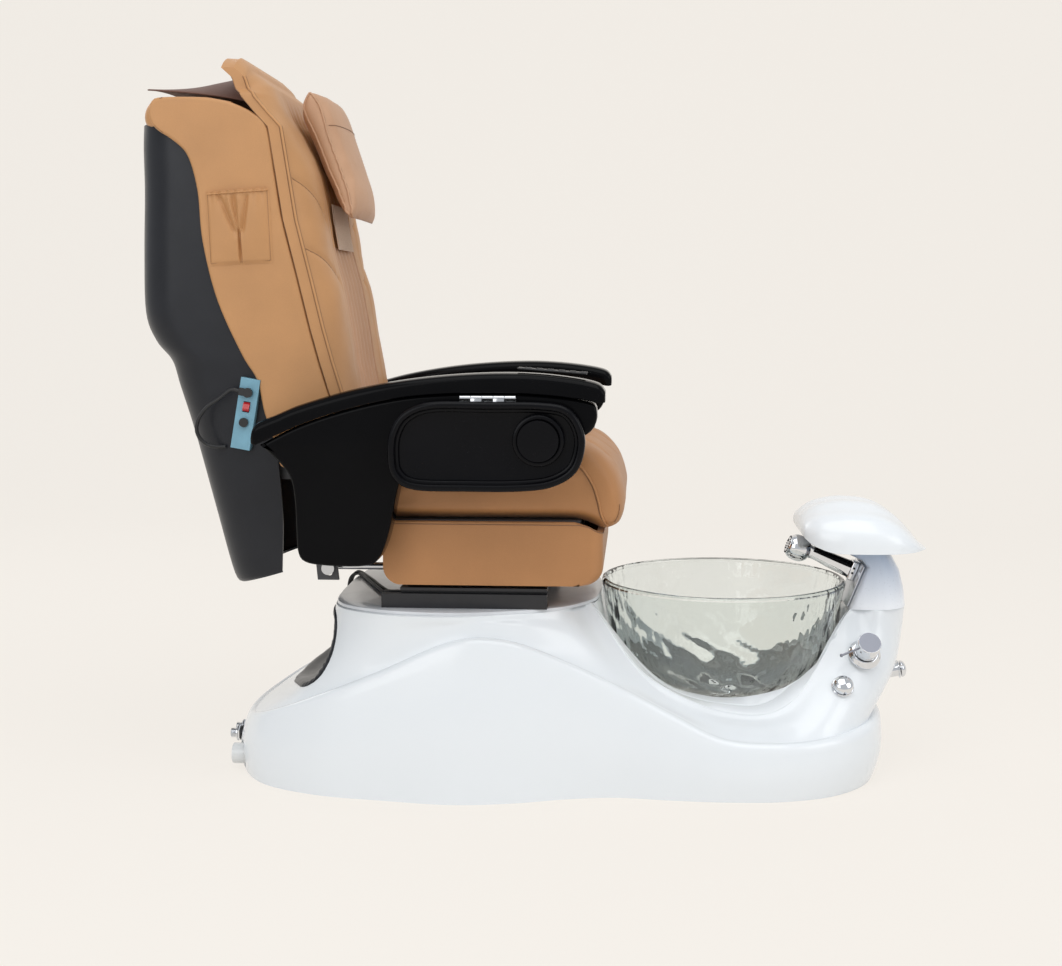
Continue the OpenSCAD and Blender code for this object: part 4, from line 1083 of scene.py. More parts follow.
    def pipes(self) -> list[Piece]:
        """The drain outlet and the water nipples at the tail."""
        outlet = lathe(
            "drain_outlet_pipe",
            [(16.5, 50), (16.5, 1), (17, 0), (19.5, 0), (20, 0.6), (20, 62), (23.5, 62.6), (23.5, 80), (0, 80)],
            (-600, -150, 30), X_AXIS,
        )  # fmt: skip
        thread = [(6.5, 40), (6.5, 0.5), (7, 0)]
        for i in range(6):
            thread += [(9.1, 0.6 + 1.8 * i), (9.9, 1.3 + 1.8 * i)]
        thread += [(9.2, 11.6), (9.2, 13), (14.0, 13.2), (15.8, 13.8), (15.8, 15.6), (9, 16), (9, 80), (6.5, 80)]
        hexagon = [(9.3, 12.2), (13.6, 12.2), (15, 13), (15, 19.4), (13.6, 20.2), (9.3, 20.2)]
        washer = [(9.4, 20.4), (14.5, 20.4), (15, 21), (15, 23.6), (14.5, 24), (9.4, 24)]
        nipples, washers = [], []
        for y in self.inlets:
            place = (-628, y, 46)
            nipples += [lathe("nipple", thread, place, X_AXIS, 48), shade(lathe("hex", hexagon, place, X_AXIS, 6), 20)]
            washers.append(lathe("washer", washer, place, X_AXIS, 48))
        return [
            self.dress(outlet, "white_pvc"),
            self.dress(joined("water_inlet_nipples", nipples), "chrome"),
            self.dress(joined("inlet_washers", washers), "black_rubber"),
        ]

    def build(self) -> list[Piece]:
        """Builds the base and seats it on its body."""
        shell, liner = self.shell(), self.liner()
        outlet, chrome, washers = self.pipes()
        return [
            seat(shell, "base", "white_gelcoat", "base_shell"),
            seat(liner, "base", "charcoal_plastic", "recess_liner"),
            seat(outlet, "base", None, "drain_pipe"),
            seat(chrome, "base", None, "water_inlets"),
            seat(washers, "base", None),
            seat(self.deck(), "base", None, "deck_plate"),
        ]

    def deck(self) -> Piece:
        """The grey deck plate, with a soft edge."""
        h = [(x + 2, y * 0.985, 0) for x, y, _ in self.rim[:9]]
        whole = h + [(113, -80, 0), (115.5, 0, 0), (113, 80, 0)] + [(x, -y, 0) for x, y, _ in h[:0:-1]]
        line = spline([p[:2] for p in whole], 6, closed=True)
        levels = ((0, 337), (0, 341), (0.6, 342.4), (2, 343), (40, 343))
        rows = [[(x, y, z) for x, y in inset(line, r)] for r, z in levels]
        return self.dress(surface("deck_plate_top", rows), "deck_grey", 40)


@dataclass
class GlassBowl(Assembly):
    """The clear foot bowl with its wavy wall, thick rim and drain."""

    thickness: float = 8.0
    turns: int = 180

    def wave(self, a: float, z: float) -> float:
        """How far the pressed pattern moves the wall at an angle and a height, in millimetres."""
        fade = min(1.0, max(0.0, (352 - z) / 30)) * min(1.0, max(0.0, (z - 128) / 20))
        s = (
            math.sin(7 * a + 0.045 * z + 1.3 * math.sin(3 * a + 0.03 * z))
            + 0.8 * math.sin(11 * a - 0.06 * z + 1.1 * math.sin(5 * a))
            + 0.6 * math.sin(0.09 * z + 4 * a + 2 * math.sin(9 * a))
            + 0.5 * math.sin(17 * a + 0.11 * z + math.sin(2 * a + 0.08 * z))
        )
        return 1.15 * s * fade

    def ring(self, r: float, z: float, inside: bool) -> Row:
        """One level of the wall, with the pressed pattern."""
        row = []
        for j in range(self.turns):
            a = 2 * math.pi * j / self.turns
            if inside:
                q = r + self.wave(a + 0.35, z) * 0.8
            else:
                q = r + min(-self.wave(a, z), 0.4) - (0.8 if 60 < r < 239 else 0)
            row.append((BOWL_X + q * math.cos(a), q * math.sin(a), z))
        return row

    def build(self) -> list[Piece]:
        """Builds the bowl and its strainer."""
        outer = resampled(spline(BOWL_PROFILE, 6), 60)
        rim = [(240, 361), (238.5, 364.5), (235, 366), (231.5, 364.5), (230, 361)]
        inner = [(r - self.thickness, max(z, 126 + self.thickness)) for r, z in outer[::-1]]
        rows = [self.ring(r, z, False) for r, z in [(22.5, 126), (60, 126), *outer, *rim]]
        rows += [self.ring(r, z, True) for r, z in [*inner, (40, 134), (22.5, 134)]]
        bowl = self.dress(surface("glass_bowl_pressed", rows + rows[:1], caps=False), "clear_glass")
        middle = (BOWL_X, 0, 0)
        cup = lathe("drain_cup", [(18, 96), (21.5, 96), (21.5, 134), (31.4, 134.2), (32, 135), (31, 137.2), (24, 137.8),
                                  (20, 135.5), (0, 134.8)], middle)  # fmt: skip
        nut = lathe("drain_nut", [(21.6, 112), (29, 112), (30, 113), (30, 124), (29, 125.6), (21.6, 125.6)], middle,
                    turns=6)  # fmt: skip
        # A ring of near-black domes on the strainer paints the shade inside its holes.
        ring = np.array([(BOWL_X + 12 * math.cos(a), 12 * math.sin(a), 135.6) for a in np.linspace(0, 2 * math.pi, 40)])
        studs = StudRow(9.4, 2.6).run("drain_studs", ring, self.finishes["dark_gap"])
        strainer = joined("drain_strainer_set", [self.dress(cup, "chrome"), self.dress(nut, "chrome", 20), studs])
        return [seat(bowl, "base", "clear_glass", "glass_bowl"), seat(strainer, "base", None, "drain_strainer")]


def placed(obj: Piece, origin: Point, tilt: float, spin: float = 0.0) -> Piece:
    """The object turned about Y by tilt, then about Z by spin, in degrees, and moved to the origin."""
    turn = Matrix.Rotation(math.radians(spin), 4, "Z") @ Matrix.Rotation(math.radians(tilt), 4, "Y")
    obj.data.transform(Matrix.Translation(Vector(origin) * MM) @ turn)
    return obj


def face_tree(obj: Piece) -> BVHTree:
    """A search tree of a piece's faces, to lay seams on."""
    mesh = obj.data
    return BVHTree.FromPolygons([v.co for v in mesh.vertices], [p.vertices for p in mesh.polygons])


def laid(tree: BVHTree, line: Sequence[Point], lift: float) -> np.ndarray:
    """A line moved onto the nearest place of a piece, and off its surface by a lift in millimetres."""
    out = []
    for p in line:
        hit, normal, _, _ = tree.find_nearest(Vector(p) * MM)
        out.append(np.array(hit) / MM + lift * np.array(normal))
    return np.array(out)


def near_surface(tree: BVHTree, start: Point, way: Point, other: Point) -> np.ndarray:
    """Where a ray first meets a piece, in millimetres, or another point where it meets none."""
    hit, _, _, _ = tree.ray_cast(Vector(start) * MM, Vector(way))
    return np.array(other, dtype=float) if hit is None else np.array(hit) / MM


def walled(obj: Piece, thickness: float, out: Point) -> Piece:
    """A sheet given a thickness on the side away from a direction."""
    faces = obj.data.polygons
    if faces[len(faces) // 2].normal.dot(Vector(out)) < 0:
        obj.data.flip_normals()
    return modified(obj, "SOLIDIFY", thickness=thickness * MM, offset=-1, use_even_offset=True)


def seat(obj: Piece, body: str, slot: str | None, *nodes: str) -> Piece:
    """Ties a piece to its body and hides the CAD nodes that it stands for.

    Args:
        obj: the piece.
        body: the body that it rides on.
        slot: its slot, or None where it keeps the slot of the node that it stands for or of its material; not used.
        nodes: the CAD nodes that it stands for.

    Returns:
        The piece.
    """
    if nodes:
        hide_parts(*nodes)
    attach(obj, body)
    return obj


# ---------- column, taps and footrest ----------


@dataclass
class Column(Assembly):
    """The pearl cover at the foot end, its silver faceplate and the spray's dock."""

    base: tuple = (596.0, 0.0, 316.0)
    lean: float = math.degrees(math.atan2(33, 83))
    spray_h: float = 66.0
    fixed_x: float = 640.0
    rear: tuple = ((316, 596), (399, 629), (412, 618), (424, 590), (430, 556), (432, 554))
    front: tuple = ((316, 713), (350, 709), (385, 700), (414, 684), (432, 667))
    width: tuple = ((540, 6), (545, 34), (560, 52), (575, 62), (597, 71), (620, 76), (645, 77), (668, 74),
                    (688, 61), (704, 42), (710, 24), (713, 0))  # fmt: skip

    def on_face(self, obj: Piece) -> Piece:
        """The object moved from the face's own frame to its place."""
        return placed(obj, self.base, self.lean)

    def cover(self) -> Piece:
        """The smooth cover, with the hole for the spray's stem."""
        rows = []
        levels = [(316, 0), (317, 0)] + [(z, 0) for z in np.linspace(322, 428, 26)]
        levels += [(430.3, 0.4), (431.4, 1.3), (432, 3.2), (432, 30)]
        for z, room in levels:
            x0, x1 = value_at(z, self.rear) + room, value_at(z, self.front) - room
            stretch = (self.width[-1][0] - self.fixed_x) / (x1 + room - self.fixed_x)
            half = []
            for k in range(31):
                x = x0 + (x1 - x0) * (1 - math.cos(math.pi * k / 30)) / 2
                at = x if x < self.fixed_x else self.fixed_x + (x - self.fixed_x) * stretch
                w = value_at(at, self.width) - room * 0.8
                edge = min(1.0, (x - x0) / 9)
                half.append((x, max(0.0, w - 9 * (1 - math.sqrt(1 - (1 - edge) ** 2))), z))
            near = [(x0, half[0][1] * 0.5, z)] + half
            rows.append([(x, -w, z) for x, w, _ in near] + [(x, w, z) for x, w, _ in near[::-1]])
        obj = shade(surface("column_shell", rows), 40)
        hole = self.on_face(bar("cutter", (-10, 0, self.spray_h), (85, 0, self.spray_h), 9.2, 0.1, 48))
        return self.dress(cut(obj, hole), "pearl_plastic", 34)

    def faceplate(self) -> Piece:
        """The silver plate that the dock is screwed to, with a folded edge."""
        plate = self.on_face(block("plate", (-5, -58, 1), (-0.4, 58, 87), 1.8, 3))
        hole = self.on_face(bar("cutter", (-12, 0, self.spray_h), (10, 0, self.spray_h), 9.2, 0.1, 48))
        return self.dress(cut(plate, hole), "silver_plate")

    def dock(self) -> Piece:
        """The clamp that the handset's foot sits in, with its tab and pins."""
        h = self.spray_h
        shell = block("dock", (-19, -20.5, h - 19.5), (-5.1, 20.5, h + 19.5), 3, 4)
        cut(shell, block("cutter", (-30, -17, h - 16.6), (-9, 17, h + 16.6), 3, 3))
        tab = block("dock_tab", (-12, -15, h + 19), (-5.1, 15, h + 24), 1.5, 3)
        clamp = self.dress(joined("dock_clamp", [shell, tab]), "chrome")
        # Two near-black discs on the clamp's side: painted shade where its pins sit.
        pins = [bar("pin", (-13, -21.4, h + z), (-13, -20, h + z), 2.3, 0.4, 24) for z in (-4, 6)]
        dark = self.dress(joined("dock_pins", pins), "dark_gap")
        return self.on_face(joined("spray_dock_set", [clamp, dark]))

    def build(self) -> list[Piece]:
        """Builds the column."""
        guide = [block("guide_low", (575, -30, 432.05), (655, 30, 440), 0.8, 2),
                 block("guide_high", (575, -42, 440), (655, 42, 445), 0.8, 2)]  # fmt: skip
        rail = self.dress(joined("footrest_rail", guide), "charcoal_plastic")
        return [
            seat(self.cover(), "base", "pearl_plastic", "column_cover"),
            seat(self.faceplate(), "base", "silver_plate", "column_faceplate"),
            seat(self.dock(), "base", "chrome", "spray_dock"),
            seat(rail, "base", "charcoal_plastic", "footrest_guide"),
        ]


@dataclass
class Taps(Assembly):
    """The mixer, the diverter and the drain knob, each on its collar."""

    axis: tuple = (0.1, -0.75, 0.65)
    mixer: tuple = (618.2, -128.5, 239.3)
    diverter: tuple = (572.2, -180, 188.8)
    drain: tuple = (703, 0, 183)
    drain_tilt: float = 80.0
    lever_turn: float = 286.0
    lever: float = 54.0

    def on_tap(self, obj: Piece, at: Point) -> Piece:
        """The object moved from a tap's own frame to its place."""
        d = Vector(self.axis).normalized()
        return placed(obj, at, math.degrees(math.acos(d.z)), math.degrees(math.atan2(d.y, d.x)))

    def mixer_pieces(self) -> list[Piece]:
        """The mixer's wide collar and its cap with the thin lever."""
        collar = [(10.2, 12), (10.2, -21.8), (25.8, -21.8), (25.8, 0), (30, 0), (31, 1), (31, 3.2), (30, 4.8),
                  (28.8, 5.8), (27, 8.6), (25.2, 11), (24, 12), (10.2, 12)]  # fmt: skip
        ring = self.dress(lathe("mixer_ring", collar, turns=96), "chrome")
        # A near-black ring in the gap between the collar and the cap: painted shade.
        groove = self.dress(lathe("mixer_groove", [(10.3, 12.1), (21.6, 12.1), (21.6, 12.8), (10.3, 12.8)]),
                                     "dark_gap")  # fmt: skip
        flange = joined("mixer_flange", [ring, groove])
        side = [(0, -14), (9.4, -14), (9.95, -13.2), (9.95, 15), (20.6, 15), (22, 16.2), (22.5, 18), (22.5, 46.6),
                (22.2, 48), (21.4, 48.8), (0, 48.8)]  # fmt: skip
        body = lathe("mixer_body", side, turns=96)
        angle = math.radians(self.lever_turn)
        way = Vector((math.cos(angle), math.sin(angle), 0))
        for turn in (-26, 24):
            a = angle + math.radians(turn)
            slot = block("cutter", (19.5, -2.2, 35), (26, 2.2, 43), 1.2, 2)
            slot.data.transform(Matrix.Rotation(a, 4, "Z"))
            cut(body, slot)
        self.dress(body, "chrome")
        disc = self.dress(lathe("mixer_top", [(0, 48.2), (21, 48.2), (21, 49), (0, 49)], turns=96), "mixer_face")
        start, end = way * 20 + Vector((0, 0, 36)), way * self.lever + Vector((0, 0, 27))
        rod = self.dress(bar("mixer_rod", start, end, 2.1, 0.4, 24), "mixer_face")
        tip = self.dress(bar("mixer_tip", end - way * 2, end + way * 2.6, 3.3, 1.3, 32), "mixer_face")
        cap = joined("mixer_cap_set", [body, disc, rod, tip])
        return [self.on_tap(flange, self.mixer), self.on_tap(cap, self.mixer)]

    def knob(self, name: str, flange: float, neck: float, stem: float, reach: float) -> list[Piece]:
        """A small domed knob on a flat collar.

        Args:
            name: the start of the pieces' names.
            flange: radius of the collar.
            neck: radius of its neck through the shell.
            stem: radius of the knob's stem.
            reach: radius of the knob.

        Returns:
            The collar and the knob, in the tap's own frame.
        """
        collar = [(stem + 0.1, 3), (stem + 0.1, -21.8), (neck - 0.2, -21.8), (neck - 0.2, 0), (flange - 1, 0),
                  (flange, 0.8), (flange, 2), (flange - 1.2, 3), (stem + 0.1, 3)]  # fmt: skip
        dome = [(0, -14), (stem - 0.6, -14), (stem - 0.05, -13.4), (stem - 0.05, 4.6), (reach - 1.4, 4.6),
                (reach, 5.6), (reach + 0.1, 9), (reach - 1.2, 12.6), (reach - 4, 15.8), (reach - 8.5, 18.2),
                (3.5, 19.6), (0, 20)]  # fmt: skip
        top = 20.5 if reach > 17 else 17.5
        dome = [(r, h if h < 5 else 4.6 + (h - 4.6) * (top - 4.6) / 15.9) for r, h in dome]
        shell = lathe(f"{name}_dome", dome, turns=80)
        for turn in (0, 120, 240):
            groove = bar("cutter", (reach + 1.5, 0, 2), (reach + 1.5, 0, 30), 3.4, 0.2, 32)
            groove.data.transform(Matrix.Rotation(math.radians(turn), 4, "Z"))
            cut(shell, groove)
        made = [lathe(f"{name}_collar", collar, turns=80), shell]
        return [self.dress(obj, "chrome") for obj in made]

    def build(self) -> list[Piece]:
        """Builds the taps."""
        ring, cap = self.mixer_pieces()
        low, turner = (self.on_tap(o, self.diverter) for o in self.knob("diverter", 21, 17, 7, 19))
        back, plug = (placed(o, self.drain, self.drain_tilt) for o in self.knob("drain", 18, 14, 6, 16.4))
        return [
            seat(ring, "base", "chrome", "mixer_escutcheon"),
            seat(cap, "mixer", "chrome", "mixer_cap"),
            seat(low, "base", "chrome", "diverter_escutcheon"),
            seat(turner, "diverter", "chrome", "diverter_knob"),
            seat(back, "base", "chrome", "drain_knob_escutcheon"),
            seat(plug, "drain_control", "chrome", "drain_knob"),
        ]


@dataclass
class HandSpray(Assembly):
    """The chrome handset, with a dark strip on top and a round head with nozzles."""

    column: Column
    sections: tuple = ((8, 16, 16, 0), (14, 16.4, 16.4, 0), (30, 16, 16, 0), (60, 14.6, 14.6, 1), (86, 12.6, 12.6, 2.4),
                       (98, 12.6, 12.4, 2.6), (106, 14.6, 14.4, 2.2), (112, 18, 17.6, 1.4))  # fmt: skip

    def section(self, s: Point, angles: Sequence[float], room: float = 0.0) -> Row:
        """Points round one section of the handle, at the given angles and stood off by room."""
        row = []
        for a in angles:
            c, d = math.cos(a), math.sin(a)
            m = (abs(c) ** 4 + abs(d) ** 4) ** 0.25
            row.append((-s[0], (s[1] + room) * c / m, s[3] + (s[2] + room) * d / m))
        return row

    def build(self) -> list[Piece]:
        """Builds the handset."""
        rows = [self.section(s, turn_steps(48)) for s in resampled(spline(self.sections, 8), 60)]
        handle = shade(surface("spray_handle", rows), 60)
        head = lathe("spray_head", [(8, 101), (15.5, 104), (20.8, 109), (24.2, 115), (25.8, 122), (26, 130), (25, 137),
                                    (22.4, 143), (19.6, 146.4), (19, 146.2), (18.6, 147), (15, 149), (8, 150.2),
                                    (0, 150.5)], axis=(-1, 0, 0), turns=96)  # fmt: skip
        stem = bar("spray_stem", (-9, 0, 0), (73, 0, 0), 7.45, 0.6, 48)
        chrome = self.dress(joined("spray_chrome", [handle, head, stem]), "chrome")
        top = np.radians(np.linspace(14, 166, 25))
        band = [self.section(s, top, 0.5) for s in resampled(spline(self.sections[1:6], 6), 24)]
        strip = walled(surface("spray_strip", band, wrap=False, caps=False), 0.4, (0, 0, 1))
        self.dress(strip, "gloss_black")
        rings = []
        # The nozzles are near-black domes: painted shade in the spray head's holes.
        for radius, depth, pitch in ((16.6, 148.1, 5.2), (9, 149.9, 5.4)):
            line = np.array([(-depth, radius * math.cos(a), radius * math.sin(a)) for a in turn_steps(48)])
            rings.append(StudRow(pitch, 1.5).run(f"nozzles_{radius}", line, self.finishes["dark_gap"], True))
        whole = joined("spray_handset_set", [chrome, strip, *rings])
        whole.data.transform(Matrix.Translation(Vector((0, 0, self.column.spray_h)) * MM))
        return [seat(self.column.on_face(whole), "spray", "chrome", "spray_handset")]


@dataclass
class Footrest(Assembly):
    """The white footrest, a crowned hollow form with shallow flutes along it."""

    top: tuple = ((499, 480), (501, 489), (506, 498), (515, 507), (532, 517), (560, 524.4), (592, 527), (641, 521),
                  (680, 500), (712, 467), (732, 441.5), (740, 437))  # fmt: skip
    bottom: tuple = ((499, 472), (501.5, 464), (507, 456.5), (516, 449.5), (530, 443), (548, 437), (565, 434.6),
                     (592, 434.6), (740, 434.6))  # fmt: skip
    half: tuple = ((499, 0.5), (501, 0.62), (507, 0.74), (530, 0.88), (560, 0.96), (592, 1), (641, 1), (680, 0.94),
                   (712, 0.78), (732, 0.56), (740, 0.44))  # fmt: skip
    width: float = 300.0
    flutes: int = 5

    def build(self) -> list[Piece]:
        """Builds the footrest."""
        n = 84
        rows = []
        half, under = smooth_table(self.half, 8), smooth_table(self.bottom, 8)
        for x, high in resampled(spline(self.top, 10), 96):
            w = value_at(x, half) * self.width / 2
            low = value_at(x, under)
            high = max(high, low + 1.2)
            row = []
            for k in range(n + 1):
                a = math.pi * k / n
                flute = 1 - 0.055 * abs(math.sin(a * self.flutes)) ** 2.2 * math.sin(a)
                row.append((x, -w * math.cos(a), low + 1 + (high - low - 1) * math.sin(a) ** 0.62 * flute))
            rows.append(row + [(x, w * part, low) for part in (0.96, 0.5, 0, -0.5, -0.96)])
        obj = surface("footrest_crown", rows)
        cut(obj, block("cutter", (520, -31, 430), (656, 31, 442), 0.6, 2),
            block("cutter", (520, -43, 439.5), (656, 43, 445.5), 0.6, 2))  # fmt: skip
        self.dress(obj, "white_gelcoat", 40)
        # A small near-black pin at the dark dot near the footrest's end, coloured as painted shade.
        pin = self.dress(bar("pin", (700, -18, 431.2), (706, -18, 435.2), 2.6, 0.8, 24), "dark_gap")
        return [seat(joined("footrest_top", [obj, pin]), "foot_support", "white_gelcoat", "footrest")]


# ---------- backrest ----------


PAD_REAR = ((600, -345), (690, -364), (743, -382.5), (796, -398.5), (859, -415.5), (953, -437.5), (1056, -462.5),
            (1136, -474.5), (1222, -487.5), (1247, -510.5), (1276, -535), (1310, -547), (1339, -556), (1356, -575))
PAD_FRONT = ((606, -322), (640, -326), (700, -336), (745, -344), (796, -353), (857, -361), (898, -368), (941, -376),
             (1008, -394), (1064, -402), (1094, -405), (1144, -416), (1177, -428), (1216, -448), (1249, -469),
             (1303, -494), (1334, -534), (1356, -566))  # fmt: skip


def box_opening() -> Piece:
    """A block with the control box's outline, to cut its opening with."""
    return placed(block("cutter", (-18.3, -20, -66.3), (18.3, 90, 66.3), 1, 2), (-538, -252, 702), 10)


@dataclass
class RearShell(Assembly):
    """The satin moulded shell behind the backrest."""

    rows: tuple = (
        (379, -571, 404, -483, 212), (392, -585, 420, -480, 220), (520, -616, 520, -476, 228),
        (664, -652, 664, -486, 232), (752, -678, 745, -494, 234), (800, -692, 795, -510, 236),
        (838, -722, 825, -520, 236), (890, -740, 880, -545, 236), (1000, -740, 990, -575, 236),
        (1110, -736, 1100, -590, 236), (1190, -736, 1180, -600, 236), (1231.5, -734, 1231.5, -606, 236),
    )  # fmt: skip
    corner: float = 75.0
    rearmost: float = -740.0

    def row(self, zr: float, xr: float, zf: float, xf: float, w: float) -> Row:
        """One level of the shell, from the near front edge round to the far one.

        Args:
            zr: height of its rear.
            xr: X of its rear.
            zf: height of its front edges.
            xf: X of its front edges.
            w: half its width.

        Returns:
            The level's points.
        """
        c = self.corner
        half = [(xf + (xr + c - xf) * t, -w) for t in (0, 0.02, 0.25, 0.5, 0.75)]
        half += [(xr + c + c * math.cos(a), -w + c + c * math.sin(a))
                 for a in np.radians(np.linspace(270, 180, 15))]  # fmt: skip
        half += [(xr - 1.5, -w * 0.5), (xr - 3, -w * 0.3), (xr - 3.7, -w * 0.15)]
        flat = half + [(xr - 4, 0)] + [(x, -y) for x, y in half[::-1]]
        return [[max(x, self.rearmost), y, zr + (zf - zr) * (x - xr) / (xf - xr)] for x, y in flat]

    def build(self) -> list[Piece]:
        """Builds the shell with the opening of the control box."""
        rows = [self.row(*r) for r in spline(self.rows, 6)]
        obj = walled(surface("rear_shell_moulding", rows, wrap=False, caps=False), 4.6, (-1, 0, 0))
        self.dress(cut(obj, box_opening()), "charcoal_plastic", 40)
        return [seat(obj, "back", "charcoal_plastic", "rear_shell")]


@dataclass
class BackCover(Assembly):
    """The leather panels on both sides and the roll behind the head."""

    side: tuple = (
        (-464, 600), (-479, 632), (-496, 680), (-505, 710), (-517, 765), (-544, 811), (-588, 911), (-613, 1019),
        (-620, 1109), (-637, 1172), (-664, 1200), (-690, 1217), (-703, 1232), (-707, 1252), (-702, 1268),
        (-689, 1276), (-640, 1277), (-601, 1275), (-557, 1267), (-512, 1246.5), (-489, 1222), (-476, 1136),
        (-464, 1056), (-439, 953), (-417, 859), (-400, 796), (-384, 743), (-366, 690), (-347, 600),
    )  # fmt: skip
    roll: tuple = ((-236, -704), (-228, -716), (-200, -725), (-140, -733), (0, -739), (140, -733), (200, -725),
                   (228, -716), (236, -704))  # fmt: skip
    half: float = 250.0

    def panels(self) -> list[Piece]:
        """The side panels, with rounded edges, and the control box's opening in the near one."""
        made = []
        line = smooth_outline(self.side, 6, 260)
        for s in (-1, 1):
            panel = slab(f"cover_side_{s}", line, s * (self.half - 13.4), s * (self.half - 0.6), 5.5, 5)
            if s < 0:
                cut(panel, box_opening())
            made.append(self.dress(panel, "tan_leather", 40))
        return made

    def rear_roll(self) -> Piece:
        """The soft roll across the top of the rear."""
        rows = []
        for y, x in resampled(spline(self.roll, 10), 90):
            outer = spline(((x + 10, 1226), (x, 1233), (x - 1.5, 1250), (x + 7, 1267), (x + 27, 1277)), 6).tolist()
            section = outer + [(-640, 1278), (-601, 1277), (-558, 1269), (-553, 1262), (x + 20, 1262), (x + 12, 1250)]
            rows.append([(q[0], y, q[1]) for q in section])
        return self.dress(surface("cover_roll", rows), "tan_leather", 50)

    def seams(self) -> list[Piece]:
        """The stitched joints between the roll and the side panels."""
        made = []
        for s in (-1, 1):
            line = spline(((-684, 1213), (-699, 1226), (-704.5, 1240), (-704, 1256), (-697, 1269), (-684, 1275.6)), 8)
            points = np.array([(x + 4, s * (self.half - 2.2), z) for x, z in line])
            made.append(self.dress(tube(f"roll_seam_{s}", points, 1.0, 8), "thread"))
        return made

    def build(self) -> list[Piece]:
        """Builds the cover."""
        obj = joined("back_cover_set", [*self.panels(), self.rear_roll(), *self.seams()])
        return [seat(obj, "back", "tan_leather", "back_cover")]


@dataclass
class Pocket(Assembly):
    """The small gathered pocket sewn to the near side panel."""

    corners: tuple = ((-604, 1106), (-486, 1114), (-481, 978), (-600, 972))
    y: float = -249.6
    most: float = 11.8
    hem: float = 0.035
    # Each fold's place at its top and its foot, the heights that it spans, its width and how far it stands out.
    folds: tuple = (
        (0.50, 0.51, 0.5, 1.0, 0.018, -9.0), (0.20, 0.46, 0.02, 0.62, 0.040, -6.0),
        (0.66, 0.55, 0.02, 0.60, 0.034, -5.5), (0.42, 0.50, 0.02, 0.60, 0.030, -4.0),
        (0.52, 0.53, 0.05, 0.55, 0.028, 3.0), (0.33, 0.48, 0.02, 0.50, 0.030, 2.5),
    )  # fmt: skip

    def place(self, u: float, v: float) -> np.ndarray:
        """The X and Z of a place on the pocket, from its top rear corner."""
        a, b, c, d = (np.array(p, dtype=float) for p in self.corners)
        return (a * (1 - u) + b * u) * (1 - v) + (d * (1 - u) + c * u) * v

    def depth(self, u: float, v: float) -> float:
        """How far the pocket's cloth stands out from the panel."""
        edge = min(1.0, u / 0.06, (1 - u) / 0.06) * min(1.0, (1 - v) / 0.05)
        body = 1.4 + 8.0 * (math.sin(math.pi * u) ** 0.6) * (0.35 + 0.65 * math.sin(math.pi * min(1.0, v * 0.9 + 0.08)))
        gather = 2.2 * math.exp(-v / 0.1) * math.sin(2 * math.pi * 8 * u + 1.2 * math.sin(5 * u))
        folds = 0.0
        for start, end, top, low, width, deep in self.folds:
            along = min(1.0, max(0.0, (v - top) / (low - top)))
            here = min(1.0, max(0.0, (v - top) / 0.08)) * min(1.0, max(0.0, (low + 0.04 - v) / 0.12))
            folds += deep * here * math.exp(-(((u - start - (end - start) * along) / width) ** 2))
        return max(0.4, (body + gather + folds) * edge)

    def build(self) -> list[Piece]:
        """Builds the pocket."""
        rows = []
        for v in np.linspace(0, 1, 64):
            row = [(*self.place(u, v), self.y - min(self.most, self.depth(u, v))) for u in np.linspace(0, 1, 72)]
            row += [(*self.place(u, v), self.y) for u in np.linspace(1, 0, 12)]
            rows.append([(x, y, z) for x, z, y in row])
        cloth = self.dress(surface("pocket_cloth", rows), "tan_leather", 50)
        ends = np.linspace(0.03, 0.97, 60)
        band = [(*self.place(u, self.hem), self.y - 1.6 - self.depth(u, self.hem) * 0.9) for u in ends]
        hem = self.dress(tube("pocket_hem", np.array([(x, y, z) for x, z, y in band]), 1.5, 10), "tan_leather")
        low, high = self.hem, 1 - self.hem
        path = [self.place(u, v) for u, v in ((low, 0.05), (low, high), (high, high), (high, 0.05))]
        line = resampled(np.array([(x, self.y - 2.0, z) for x, z in path]), 120)
        stitch = StitchRow(3.6, 2.4, 0.5).run("pocket_stitch", line, self.finishes["thread"])
        whole = joined("side_pocket_set", [cloth, hem, stitch])
        return [seat(whole, "back", "tan_leather", "side_pocket")]


